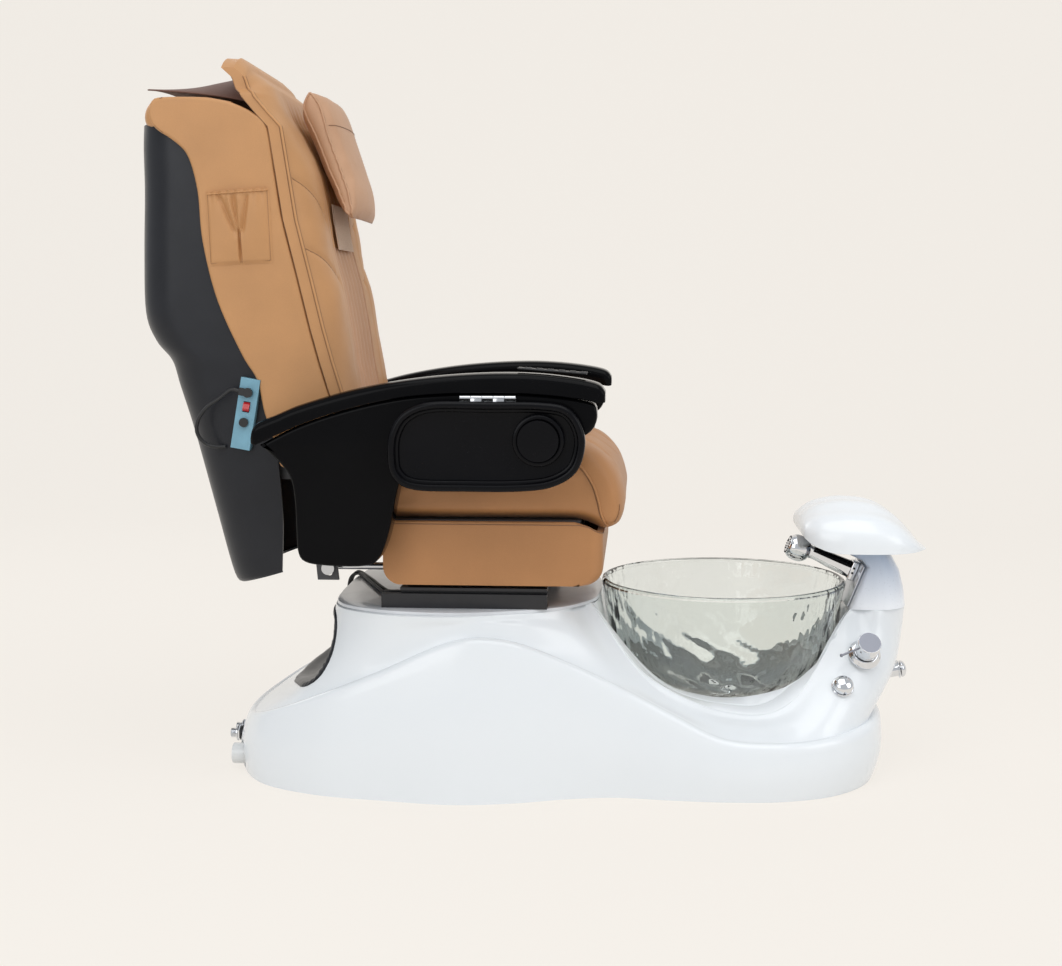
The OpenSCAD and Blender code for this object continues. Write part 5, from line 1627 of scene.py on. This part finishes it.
@dataclass
class BackPad(Assembly):
    """The padded front of the backrest: side rolls, sewn channels, welts and seams."""

    half: float = 249.6
    strip: float = 24.0
    recess: float = 5.0
    edge: float = 0.42
    channels: int = 6
    channel_depth: float = 7.0
    seams: tuple = (((-1.0, 1134), (-0.9, 1120), (-0.8, 1103), (-0.68, 1082), (-0.58, 1060)),
                    ((-1.0, 1006), (-0.9, 996), (-0.8, 984), (-0.68, 968), (-0.56, 948)))  # fmt: skip

    def __post_init__(self) -> None:
        """Makes the seams' lines, in millimetres across and up."""
        self.lines = [spline([(s * self.half, z) for s, z in seam], 8) for seam in self.seams]

    def crease(self, y: float, z: float) -> float:
        """How deep the bolster's seams pull the leather in at a place."""
        deep = 0.0
        for line in self.lines:
            d = float(np.min(np.linalg.norm(line - (-abs(y), z), axis=1)))
            deep = max(deep, 3.6 * math.exp(-((d / 5.0) ** 2)) + 1.5 * math.exp(-((d / 22.0) ** 2)))
        return deep

    def corner(self, s: float, z: float) -> tuple[float, float, float]:
        """How far a place is round the side roll, its Y and its Z, both drawn in at the top corners."""
        side = ((abs(s) - 0.66) / 0.34) ** 2.4 if abs(s) > 0.66 else 0.0
        high = min(1.0, max(0.0, (z - 1282) / 36))
        return side, s * self.half * (1 - 0.07 * high), z - 26 * side * high

    def point(self, s: float, z: float) -> tuple[float, float, float]:
        """A point of the front, from its part of the half-width and its height."""
        e = abs(s)
        side, y, up = self.corner(s, z)
        sunk = self.recess * math.cos(math.radians(90 * e / 0.6)) ** 0.5 if e < 0.6 else 0.0
        turns = 2 * math.pi * self.channels * (s / self.edge + 1) / 2
        sewn = self.channel_depth * ((0.5 - 0.5 * math.cos(turns)) ** 0.6 - 1) if e <= self.edge else 0.0
        ripple = 0.9 * math.sin(z / 7.5 + 2.1 * round(turns / 6.28)) * (1 if e <= self.edge else 0)
        fade = min(1.0, max(0.0, (1290 - z) / 80))
        welt = value_at(z, PAD_REAR) + self.strip
        x = welt + max(0.0, value_at(z, PAD_FRONT) - welt) * (1 - side) - (sunk - sewn + ripple * 0.5) * fade
        wrinkle = math.sin(z / 19 + 5 * e) * math.sin(math.pi * min(1, max(0, (e - 0.5) / 0.5)))
        drawn = (self.crease(y, z) - wrinkle) * min(1, (1 - e) / 0.06) if 0.5 < e < 0.985 else 0.0
        return x - drawn, y, up

    def front(self) -> Piece:
        """The pad's body."""
        stations = [-1, -0.995, -0.985] + np.linspace(-0.97, 0.97, 185).tolist() + [0.985, 0.995, 1]
        rows = []
        for z in np.linspace(600, 1356, 170):
            rear = [(value_at(z, PAD_REAR), *self.corner(s, z)[1:]) for s in np.linspace(1, -1, 30)]
            rows.append([self.point(s, z) for s in stations] + rear)
        obj = surface("back_pad_body", rows)
        for slot in ("tan_leather", "pillow_leather"):
            obj.data.materials.append(self.finishes[slot])
        for face in obj.data.polygons:
            c = face.center / MM
            if face.normal.x > 0.1 and abs(c.y) < self.edge * self.half and c.z < 1012:
                face.material_index = 1
        return shade(obj, 60)

    def trims(self) -> list[Piece]:
        """The welts, the seam lines and the channels' stitches."""
        made = []
        heights = np.linspace(604, 1340, 120)
        for s in (-1, 1):
            welt, rear = [], []
            for z in heights:
                x, y, top = self.point(s, z)
                welt.append((x + 0.8, y + s * 0.4, top))
                rear.append((value_at(z, PAD_REAR) + 0.6, y + s * 0.1, top))
            piping = tube(f"pad_welt_{s}", np.array(welt), 2.5, 12)
            made.append(self.dress(piping, "tan_leather"))
            for k, (line, push) in enumerate(((welt, -3.2), (welt, 2.6), (rear, 0))):
                thread = tube(f"pad_line_{s}_{k}", np.array(line) + (push, -s * 0.6, 0), 0.75, 8)
                made.append(self.dress(thread, "thread"))
            for k, line in enumerate(self.lines):
                points = [np.array(self.point(-s * y / self.half, z)) + (0.3, 0, 0) for y, z in line[1:]]
                made.append(self.dress(tube(f"bolster_{s}_{k}", np.array(points), 0.8, 8), "thread"))
        for k in range(self.channels + 1):
            s = self.edge * (2 * k / self.channels - 1)
            line = np.array([np.array(self.point(s, z)) + (0.5, 0, 0) for z in np.linspace(640, 1010, 100)])
            made.append(StitchRow(4.4, 2.8, 0.6).run(f"channel_{k}", line, self.finishes["thread"]))
        return made

    def build(self) -> list[Piece]:
        """Builds the pad."""
        obj = joined("back_pad_set", [self.front(), *self.trims()])
        return [seat(obj, "back", "tan_leather", "back_pad")]


@dataclass
class HeadPillow(Assembly):
    """The wedge-shaped head pillow, filled by a cloth simulation, with its piping."""

    outline: tuple = ((-456, 1268), (-451, 1294), (-440, 1308), (-420, 1303), (-397, 1272), (-377, 1215), (-358, 1156),
                      (-347, 1118), (-345, 1080), (-350, 1058), (-364, 1060), (-384, 1097), (-408, 1146),
                      (-434, 1212))  # fmt: skip
    back: tuple = ((1055, -372), (1130, -402), (1220, -438), (1310, -452))
    half: float = 124.0

    def section(self, y: float, room: float) -> np.ndarray:
        """The outline at a place across the pillow, as X and Z."""
        line = smooth_outline(self.outline, 6, 90)
        ahead = np.array([max(0.0, x - value_at(z, self.back)) for x, z in line])
        pull = ahead * (0.30 * (abs(y) / self.half) ** 2.2)
        return inset(np.stack([line[:, 0] - pull, line[:, 1]], axis=1), room)

    def build(self) -> list[Piece]:
        """Builds the pillow."""
        rows = []
        for s in np.concatenate([np.linspace(-1, -0.9, 6), np.linspace(-0.86, 0.86, 32), np.linspace(0.9, 1, 6)]):
            room = 3.0 + 13 * max(0.0, (abs(s) - 0.88) / 0.12) ** 3
            rows.append([(x, s * (self.half - 2), z) for x, z in self.section(s * self.half, room)])
        body = swell(surface("pillow_body", rows), 6, 5, 6)
        self.dress(body, "pillow_leather")
        parts = [body]
        tree = face_tree(body)
        for s in (-1, 1):
            loop_line = self.section(s * self.half, 2.6)
            points = laid(tree, [(x, s * (self.half - 4), z) for x, z in loop_line], 0.6)
            line = laid(tree, [(x, s * (self.half - 8), z) for x, z in loop_line], 0.2)
            parts.append(self.dress(tube(f"pillow_welt_{s}", points, 2.1, 10, True), "pillow_leather"))
            parts.append(self.dress(tube(f"pillow_line_{s}", line, 0.8, 8, True), "thread"))
        seam = []
        for y in np.linspace(-self.half + 10, self.half - 10, 40):
            line = self.section(y, -0.6)
            front = line[np.argmin(np.abs(line[:, 1] - 1242) + (line[:, 0] < -410) * 100)]
            seam.append((front[0], y, front[1]))
        parts.append(self.dress(tube("pillow_seam", laid(tree, seam, 0.2), 0.8, 8), "thread"))
        obj = joined("head_pillow_set", parts)
        return [seat(obj, "back", "pillow_leather", "head_pillow")]


@dataclass
class TopFlap(Assembly):
    """The leather flap that lies from the top of the pad to the roll behind it."""

    rows: tuple = ((-567, 1346, -536, 1274), (-592, 1338, -570, 1281), (-622, 1330, -610, 1287),
                   (-656, 1319, -654, 1292), (-690, 1312, -694, 1295), (-722, 1309, -722, 1297))  # fmt: skip
    half: float = 200.0

    def build(self) -> list[Piece]:
        """Builds the flap."""
        grid = []
        for r in spline(self.rows, 5):
            row = []
            for k in np.linspace(-1, 1, 57):
                c = max(0.0, math.cos(math.radians(90 * k))) ** 0.8
                row.append((r[2] + (r[0] - r[2]) * c, k * self.half, r[3] + (r[1] - r[3]) * c))
            grid.append(row)
        obj = walled(surface("top_flap_sheet", grid, wrap=False, caps=False), 2.6, (0, 0, 1))
        modified(obj, "BEVEL", width=0.9 * MM, segments=2, limit_method="ANGLE")
        self.dress(obj, "dark_lining", 50)
        return [seat(obj, "back", "dark_lining", "top_flap")]


# ---------- seat ----------


@dataclass
class Rails(Assembly):
    """The screws of the seat's carriage, whose plain steel sections stay as the CAD has them."""

    half: float = 236.0
    along: tuple = (-230, -120, -10)
    top: float = 355.5

    def build(self) -> list[Piece]:
        """Builds the screws."""
        places = [(x, y, self.top) for y in (-self.half, self.half) for x in self.along]
        heads = [bar("screw", (x, y, z), (x, y, z + 2.5), 4.5, 1.0, 24) for x, y, z in places]
        return [seat(self.dress(joined("rail_screws", heads), "rod_steel"), "seat", "rod_steel")]


@dataclass
class SeatBox(Assembly):
    """The leather-covered box under the cushion."""

    rear: float = -283.0
    front: float = 123.0
    low: float = 388.0
    top: float = 506.5
    edge: tuple = ((-283, 506.5), (70, 506.5), (95, 499), (112, 489), (123, 485))
    half: float = 262.0
    round_low: float = 34.0
    corner: float = 26.0

    def ring(self, z: float, room: float) -> Row:
        """One level of the box's outside, made smaller by room."""
        drop = self.round_low - min(self.round_low, max(0.0, z - self.low))
        pull = self.round_low - math.sqrt(max(0.0, self.round_low**2 - drop**2)) + room
        x0, x1, w, r = self.rear + pull, self.front - pull, self.half - room, self.corner - room
        side = [x0, 0.0, 60.0, 70.0, 80.0]
        line = [(x, -w) for x in side]
        line += [(x1 - r + r * math.cos(a), -w + r + r * math.sin(a)) for a in np.radians(np.linspace(-90, 0, 12))]
        line += [(x1 - r + r * math.cos(a), w - r + r * math.sin(a)) for a in np.radians(np.linspace(0, 90, 12))]
        line += [(x, w) for x in side[::-1]]
        return [(x, y, min(z, value_at(x, self.edge))) for x, y in line]

    def build(self) -> list[Piece]:
        """Builds the box."""
        levels = [self.low + self.round_low * (1 - math.cos(a)) for a in np.linspace(0.12, math.pi / 2, 12)]
        rows = [self.ring(z, 0) for z in levels + np.linspace(440, self.top - 3, 10).tolist()]
        rows += [self.ring(self.top - 1.2, 0.9), self.ring(self.top, 3), self.ring(self.top, 11)]
        rows += [self.ring(z, 11.5) for z in (480, 440, 405)]
        box = surface("seat_box_cover", rows, wrap=False, caps=False)
        floor = surface("seat_box_floor", [self.ring(levels[0], 0.3), self.ring(levels[0] + 8, 8)])
        line = self.dress(tube("seat_box_seam", np.array(self.ring(self.top - 5, -0.4)), 0.8, 8), "thread")
        for part in (box, floor):
            self.dress(part, "seat_leather")
        return [seat(joined("seat_box_set", [box, floor, line]), "seat", "tan_leather", "seat_box")]


@dataclass
class SeatCushion(Assembly):
    """The seat cushion with its rolled front, filled by a cloth simulation, and its piping.

    After the simulation no point may stand out past widest, or below lowest behind front_x.
    """

    half: float = 259.0
    widest: float = 261.0
    lowest: float = 508.3
    front_x: float = 78.0
    side: tuple = (
        (-312, 513), (-260, 509), (-200, 508.6), (-60, 508.6), (50, 508.6), (90, 505), (112, 495), (138, 489),
        (156, 495), (165, 520), (162, 550), (152, 583), (134, 615), (111, 635), (85, 642), (52, 638), (0, 629),
        (-110, 619), (-240, 617), (-305, 615), (-316, 598), (-317, 552),
    )  # fmt: skip
    roll: tuple = ((40, 637), (66, 622), (86, 604), (104, 576), (114, 546), (120, 520), (130, 498))

    def body(self) -> Piece:
        """The cushion before its seams."""
        base = smooth_outline(self.side, 6, 200)
        rows = []
        for s in np.concatenate([np.linspace(-1, -0.9, 9), np.linspace(-0.87, 0.87, 50), np.linspace(0.9, 1, 9)]):
            e = abs(s)
            draw = 15 * e**16 + 2 * e**4 + 2.0
            crown = 8 * (1 - e * e)
            dish = 5 * math.exp(-(((e - 0.66) / 0.08) ** 2))
            row = []
            for x, z in inset(base, draw):
                lift = (crown - (dish if x < 60 else 0)) * min(1.0, max(0.0, (z - 560) / 40))
                row.append((x, s * (self.half - 2), max(z, 509.2 if x < 80 else 0) + lift))
            rows.append(row)
        obj = swell(surface("seat_cushion_body", rows), 7, 4, 5)

        def kept_in(p: Vector) -> Vector:
            y = max(-self.widest, min(self.widest, p.y))
            return Vector((p.x, y, max(p.z, self.lowest) if p.x < self.front_x else p.z))

        return moved(obj, kept_in)

    def build(self) -> list[Piece]:
        """Builds the cushion."""
        body = self.dress(self.body(), "seat_leather")
        tree = face_tree(body)
        parts = [body]
        for s in (-1, 1):
            way = resampled(spline(self.roll, 8), 70)
            out = s * (self.half + 30)
            line = np.array([near_surface(tree, (x, out, z), (0, -s, 0), (x, s * self.half, z)) for x, z in way])
            parts.append(self.dress(tube(f"roll_welt_{s}", laid(tree, line, 1.0), 2.2, 10), "seat_leather"))
            dark = laid(tree, line - (3.2, 0, 0.8), 0.4)
            parts.append(self.dress(tube(f"roll_line_{s}", dark, 0.8, 8), "thread"))
            edge = resampled(spline(((166, 540), (163, 524), (156, 508), (148, 497)), 6), 24)
            corner = laid(tree, [(x, s * (self.half - 8), z) for x, z in edge], 0.3)
            parts.append(self.dress(tube(f"corner_line_{s}", corner, 0.9, 8), "thread"))
        way = np.linspace(-self.half + 10, self.half - 10, 60)
        across = np.array([near_surface(tree, (40, y, 720), (0, 0, -1), (40, y, 640)) for y in way])
        parts.append(self.dress(tube("roll_seam_across", across, 1.9, 10), "seat_leather"))
        parts.append(self.dress(tube("roll_line_across", across + (-2.4, 0, 0), 0.8, 8), "thread"))
        obj = joined("seat_cushion_set", parts)
        return [seat(obj, "seat", "tan_leather", "seat_cushion")]


# ---------- arms and trays ----------


def knuckle_ends(k: int) -> tuple[float, float]:
    """Where one of a tray hinge's five knuckles starts and ends along X."""
    x = HINGE_X + k * KNUCKLE
    return x + 0.2, x + KNUCKLE - 0.2


@dataclass
class Arm(Assembly):
    """One black armrest: its gloss pad, its shaped body and its hinge."""

    side: Side
    start: float = -511.0
    end: float = 130.5
    inner: float = 268.0
    width: float = 74.0
    top: tuple = ((-508, 668), (-500, 688), (-460, 706), (-416, 724), (-326, 750), (-236, 767), (-147, 777),
                  (-60, 781), (12, 779), (80, 771), (116, 762), (127, 750))  # fmt: skip
    low: tuple = ((-508, 655), (-500, 652), (-416, 690), (-326, 719), (-236, 738), (-147, 745.5), (-60, 747),
                  (12, 744), (80, 737), (116, 730), (127, 731))  # fmt: skip
    body: tuple = (
        (-486, 655), (-489, 650), (-458, 621), (-438, 592), (-431, 552), (-429, 500), (-427, 462), (-416, 441),
        (-378, 433.5), (-305, 433.5), (-278, 449), (-259, 500), (-244, 572), (-225, 622), (-180, 648), (-60, 656),
        (40, 660), (92, 672), (111, 694), (112, 718), (104, 729), (60, 738), (12, 743.2), (-60, 746.4), (-147, 745),
        (-236, 737.4), (-326, 718.4), (-416, 689.4),
    )  # fmt: skip

    def pad(self) -> Piece:
        """The long curved pad with its rounded top edges."""
        a, b = self.inner, self.inner + self.width
        rows = []
        upper = resampled(spline(self.top, 10), 150)
        low = smooth_table(self.low[1:], 6)
        for x, z in upper:
            under = value_at(x, [self.low[0], *low])
            h = z - under
            t = min(1.0, (x - self.start) / 14, (self.end - x) / 17)
            w = (1 - math.sqrt(max(0.0, 1 - (1 - t) ** 2))) * 13
            r = min(13.0, h * 0.42)
            half = (b - a) / 2 - w
            row = [(x, -half + r * (1 - math.cos(q)), z - r + r * math.sin(q)) for q in np.linspace(0, math.pi / 2, 9)]
            crown = [(x, y, z + 1.4 * t * (1 - (y / half) ** 2)) for y in np.linspace(-half + r, half - r, 12)[1:-1]]
            section = [(x, -half + 1.2, under), (x, -half, under + 1.6)] + row + crown
            section += [(x, -y, zz) for _, y, zz in row[::-1]] + [(x, half, under + 1.6), (x, half - 1.2, under)]
            rows.append([(px, (a + b) / 2 + y, pz) for px, y, pz in section])
        return self.dress(surface(f"arm_{self.side.word}_pad_top", rows), "gloss_black", 45)

    def shell(self) -> Piece:
        """The body under the pad, with a soft edge."""
        line = smooth_outline(self.body, 5, 240)
        obj = slab(f"arm_{self.side.word}_shell", line, self.inner + 8.4, self.inner + 67.6, 7, 6)
        hole = bar("cutter", (-345, self.inner - 20, 470), (-345, self.inner + 63.6, 470), 12.2, 0.1, 64)
        return self.dress(cut(obj, hole), "gloss_black", 40)

    def hinge(self) -> Piece:
        """The hinge's leaf, its three knuckles and its pin."""
        y, z, leaf = HINGE_Y, HINGE_Z, self.inner + 68
        parts = [block("leaf", (HINGE_X, leaf, 702), (HINGE_X + 5 * KNUCKLE, leaf + 2, 732), 0.5, 2)]
        for k in (0, 2, 4):
            x0, x1 = knuckle_ends(k)
            parts.append(bar("knuckle", (x0, y, z), (x1, y, z), 5, 0.5, 40))
            parts.append(block("tongue", (x0, leaf, 724), (x1, leaf + 2, z), 0.4, 2))
            parts.append(block("top", (x0, leaf, z - 5), (x1, y, z), 0.4, 2))
        parts.append(bar("pin", (HINGE_X, y, z), (HINGE_X + 5 * KNUCKLE, y, z), 2.5, 0.5, 24))
        return self.dress(joined(f"arm_{self.side.word}_hinge_set", parts), "rod_steel")

    def build(self) -> list[Piece]:
        """Builds the arm."""
        word = self.side.word
        made = [
            (self.pad(), "gloss_black", f"arm_{word}_pad"),
            (self.shell(), "gloss_black", f"arm_{word}_body"),
            (self.hinge(), "rod_steel", f"arm_{word}_hinge"),
        ]
        return [seat(mirrored(obj, self.side), f"arm_{word}", slot, node) for obj, slot, node in made]


@dataclass
class Keypad(Assembly):
    """The remote's strip on the near arm: six bare membrane keys in a slim frame."""

    keys: int = 6
    pitch: int = 20
    place: tuple = (32, -305, 783)
    lean: float = 4.4

    def build(self) -> list[Piece]:
        """Builds the keypad."""
        frame = block("keypad_frame", (-62, -13, 0), (62, 13, 4), 1.6, 3)
        starts = [k * self.pitch - 49 for k in range(self.keys)]
        keys = [block("key", (x, -7, 2.4), (x + 12, 7, 5.0), 1.0, 3) for x in starts]
        for x in starts:
            cut(frame, block("cutter", (x - 1, -8, 2.5), (x + 13, 8, 9), 0.5, 2))
        self.dress(frame, "black_plastic")
        tops = self.dress(joined("keys", keys), "charcoal_plastic")
        whole = placed(joined("keypad_set", [frame, tops]), self.place, self.lean)
        return [seat(whole, "arm_right", "gloss_black", "arm_right_keypad")]


@dataclass
class Tray(Assembly):
    """One fold-down tray with its raised rim and the cup holder's collar."""

    side: Side
    outline: tuple = ((-256, 639), (-248, 600), (-212, 577), (-120, 574), (-20, 575), (38, 584), (78, 610), (93, 655),
                      (86, 694), (60, 724), (10, 732.5), (-80, 733), (-179, 732.5), (-228, 714),
                      (-251, 680))  # fmt: skip
    cup: tuple = (11.0, 665.0)
    near: float = 345.0
    far: float = 372.0

    def build(self) -> list[Piece]:
        """Builds the tray."""
        word = self.side.word
        line = smooth_outline(self.outline, 8, 260)
        steps = [(0, self.near + 7), (0, self.far - 7)]
        steps += [(7 * (1 - math.cos(a)), self.far - 7 + 7 * math.sin(a)) for a in np.linspace(0.2, 1.571, 7)]
        steps += [(9.5, self.far), (11.6, self.far - 1.2), (12.8, self.far - 3.5), (13.4, self.far - 8),
                  (14.2, self.far - 9.4), (17, self.far - 9.6), (18.2, self.far - 10.4), (18.8, self.far - 13),
                  (20, self.near + 9.4), (26, self.near + 9)]  # fmt: skip
        back = [(7 * (1 - math.sin(a)), self.near + 7 * (1 - math.cos(a))) for a in np.linspace(0.0, 1.571, 6)]
        rows = [[(x, y, z) for x, z in inset(line, r)] for r, y in back + steps]
        plate = shade(surface(f"tray_{word}_plate", rows), 42)
        ring = [(36, 4), (36, 24.6), (36.6, 25.6), (38.4, 26.6), (42.4, 26.6), (44.6, 25.4), (46, 22.8), (46, 8),
                (36, 4)]  # fmt: skip
        x, z = self.cup
        cup = (x, self.near, z)
        rim = lathe("cup_collar", ring, cup, Y_AXIS, 120)
        cut(plate, bar("cutter", (x, self.near - 5, z), (x, self.far + 9, z), 36.2, 0.1, 120))
        floor = lathe("cup_floor", [(0, 1.2), (36.2, 1.2), (36.6, 2), (36.6, 3.4), (0, 3.4)], cup, Y_AXIS, 96)
        parts = [self.dress(part, "tray_black") for part in (plate, rim, floor)]
        y, z = HINGE_Y, HINGE_Z
        for k in (1, 3):
            x0, x1 = knuckle_ends(k)
            knuckle = bar("knuckle", (x0, y, z), (x1, y, z), 5, 0.5, 40)
            cut(knuckle, bar("cutter", (x0 - 2.2, y, z), (x1 + 2.2, y, z), 2.6, 0.1, 32))
            tongue = block("tongue", (x0, y + 1.5, 722), (x1, y + 9, z), 0.5, 2)
            parts += [self.dress(part, "rod_steel") for part in (knuckle, tongue)]
        obj = joined(f"tray_{word}_set", parts)
        return [seat(mirrored(obj, self.side), f"tray_{word}_body", "tray_black", f"tray_{word}")]


# ---------- cords ----------


@dataclass
class Cables(Assembly):
    """The two cables on the deck and the loop that runs from the control box's plug."""

    radius: float = 3.5
    deck_routes: tuple = (
        (
            (-288, -150, 347), (-306, -118, 347), (-326, -70, 347), (-346, -18, 347), (-366, 34, 347),
            (-386, 84, 347), (-400, 96, 346), (-412, 102, 334), (-417, 106, 310), (-419, 110, 284),
            (-424, 114, 254), (-440, 118, 230),
        ),
        (
            (-288, -128, 347), (-304, -96, 347), (-326, -46, 347), (-346, 6, 347), (-368, 58, 347),
            (-388, 104, 347), (-400, 116, 346), (-411, 122, 334), (-416, 126, 310), (-418, 130, 284),
            (-423, 134, 254), (-438, 138, 230),
        ),
    )  # fmt: skip
    loop_route: tuple = (
        (-547, -259.5, 744.3), (-562, -259.5, 746.6), (-584, -259.5, 731), (-606, -259, 716), (-622, -258, 697),
        (-629, -256, 676), (-625, -253, 658), (-612, -249, 645), (-596, -245, 640), (-580, -240, 640),
    )  # fmt: skip

    def length(self, line: np.ndarray) -> float:
        """A line's length in metres."""
        return float(np.sum(np.linalg.norm(np.diff(line, axis=0), axis=1))) * MM

    def cable(self, name: str, route: Sequence[Point], node: str, body: str, pieces: Sequence[str]) -> None:
        """One cable, as a rubber tube along its route.

        Args:
            name: the piece's name.
            route: the points that it passes through, in millimetres.
            node: the CAD node that it stands for.
            body: the body that it rides on.
            pieces: the separate pieces on it; not used.
        """
        line = spline(route, 8)
        obj = self.dress(tube(name, line, self.radius, 16), "black_rubber")
        seat(obj, body, "black_rubber", node)

    def build(self) -> None:
        """Builds the cables."""
        for k, route in enumerate(self.deck_routes):
            self.cable(f"deck_cable_{k + 1}", route, "deck_cables", "base", [])
        self.cable("control_loop", self.loop_route, "control_cable", "back", ["power_plug"])


# ---------- floor, light and camera ----------


@dataclass
class Studio:
    """A pale floor that runs up into a backdrop, soft lamps and the camera."""

    cream: Colour = srgb(245, 240, 233)
    glow: float = 0.86
    air: Colour = (0.93, 0.96, 1.0)
    air_strength: float = 0.62
    lamps: tuple = (
        ("lamp_high", (0.3, -1.4, 3.6), (0.0, 0.0, 0.6), 3.0, 52),
        ("lamp_front", (-1.9, -3.4, 2.0), (0.0, 0.0, 0.6), 2.2, 26),
        ("lamp_foot", (3.0, -1.6, 1.8), (0.2, 0.0, 0.5), 1.8, 18),
        ("lamp_behind", (-2.6, 2.0, 2.6), (-0.3, 0.0, 0.8), 1.8, 18),
    )
    camera_at: Point = (0.187, -3.1, 0.898)
    pitch: float = -6.4
    turn: float = 3.949
    lens: float = 53.19

    def floor_material(self) -> bpy.types.Material:
        """Cream to the eye, with the object's shadow, and plain matt for every other ray."""
        r = Recipe("studio_cream")
        r.tree.nodes.remove(r.shader)
        out = r.tree.nodes["Material Output"]
        paths = r.node("ShaderNodeLightPath").outputs
        seen = paths["Is Camera Ray"]
        for ray in ("Is Glossy Ray", "Is Transmission Ray"):
            both = r.node("ShaderNodeMath", operation="ADD", use_clamp=True)
            r.link(seen, both.inputs[0])
            r.link(paths[ray], both.inputs[1])
            seen = both.outputs[0]
        matt, glow = r.node("ShaderNodeBsdfDiffuse"), r.node("ShaderNodeEmission")
        mixed, choice = r.node("ShaderNodeMixShader"), r.node("ShaderNodeMixShader")
        for shader in (matt, glow):
            shader.inputs["Color"].default_value = (*self.cream, 1)
        mixed.inputs[0].default_value = self.glow
        r.link(matt.outputs[0], mixed.inputs[1])
        r.link(glow.outputs[0], mixed.inputs[2])
        r.link(seen, choice.inputs[0])
        r.link(matt.outputs[0], choice.inputs[1])
        r.link(mixed.outputs[0], choice.inputs[2])
        r.link(choice.outputs[0], out.inputs["Surface"])
        return r.material

    def sweep(self) -> None:
        """The floor and the backdrop as one curved sheet."""
        turn = np.linspace(0, math.pi / 2, 24)[1:]
        bend = [(3500 + 1500 * math.sin(a), 1500 - 1500 * math.cos(a)) for a in turn]
        line = [(-9000, 0), (3500, 0), *bend, (5000, 9000)]
        obj = surface("studio_sweep", [[(x, y, z) for y, z in line] for x in (-9000, 9000)], wrap=False, caps=False)
        obj.data.materials.append(self.floor_material())

    def lamp(self, name: str, at: Point, aim: Point, size: float, watts: float) -> None:
        """A square soft lamp.

        Args:
            name: its name.
            at: where it stands, in metres.
            aim: the point that it faces.
            size: its side in metres.
            watts: its power.
        """
        data = bpy.data.lights.new(name, "AREA")
        data.shape = "SQUARE"
        data.size = size
        data.energy = watts
        obj = bpy.data.objects.new(name, data)
        obj.location = at
        obj.rotation_euler = (Vector(aim) - Vector(at)).to_track_quat("-Z", "Y").to_euler()
        bpy.context.scene.collection.objects.link(obj)

    def build(self) -> None:
        """Builds the studio and sets the scene's camera."""
        scene = bpy.context.scene
        scene.view_settings.view_transform = "Standard"
        world = bpy.data.worlds.new("studio_air")
        scene.world = world
        world.use_nodes = True
        air = world.node_tree.nodes["Background"].inputs
        air["Color"].default_value = (*self.air, 1)
        air["Strength"].default_value = self.air_strength
        self.sweep()
        for lamp in self.lamps:
            self.lamp(*lamp)
        data = bpy.data.cameras.new("camera")
        data.sensor_width = 36
        data.lens = self.lens
        data.clip_start = 0.05
        camera = bpy.data.objects.new("camera", data)
        camera.location = self.camera_at
        camera.rotation_euler = (math.radians(90 + self.pitch), 0, math.radians(self.turn))
        scene.collection.objects.link(camera)
        scene.camera = camera


# ---------- the whole chair ----------


def dress_kept_nodes(frame: dict, finishes: dict[str, bpy.types.Material]) -> None:
    """Gives every CAD node its procedural material.

    Args:
        finishes: the materials.
    """
    by_node = {s["node"]: s["material_slot"] for s in frame["record"]["subparts"]}
    for name, obj in frame["nodes"].items():
        finish = finishes[by_node[name]]
        if not obj.material_slots:
            obj.data.materials.append(finish)
        for place in obj.material_slots:
            place.material = finish


def main() -> None:
    """Builds the chair around its frame."""
    logging.basicConfig(level=logging.INFO, format="%(message)s")
    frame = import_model()
    finishes = every_finish()
    Studio().build()
    Cables(finishes).build()
    dress_kept_nodes(frame, finishes)
    for assembly in (
        FootBase(finishes),
        GlassBowl(finishes),
        Column(finishes),
        Taps(finishes),
        HandSpray(finishes, Column(finishes)),
        Footrest(finishes),
        RearShell(finishes),
        BackCover(finishes),
        Pocket(finishes),
        BackPad(finishes),
        HeadPillow(finishes),
        TopFlap(finishes),
        Rails(finishes),
        SeatBox(finishes),
        SeatCushion(finishes),
        Arm(finishes, Side.RIGHT),
        Arm(finishes, Side.LEFT),
        Keypad(finishes),
        Tray(finishes, Side.RIGHT),
        Tray(finishes, Side.LEFT),
    ):
        for piece in assembly.build():
            log.info("%s: %s", type(assembly).__name__, piece.name)


if __name__ == "__main__":
    main()
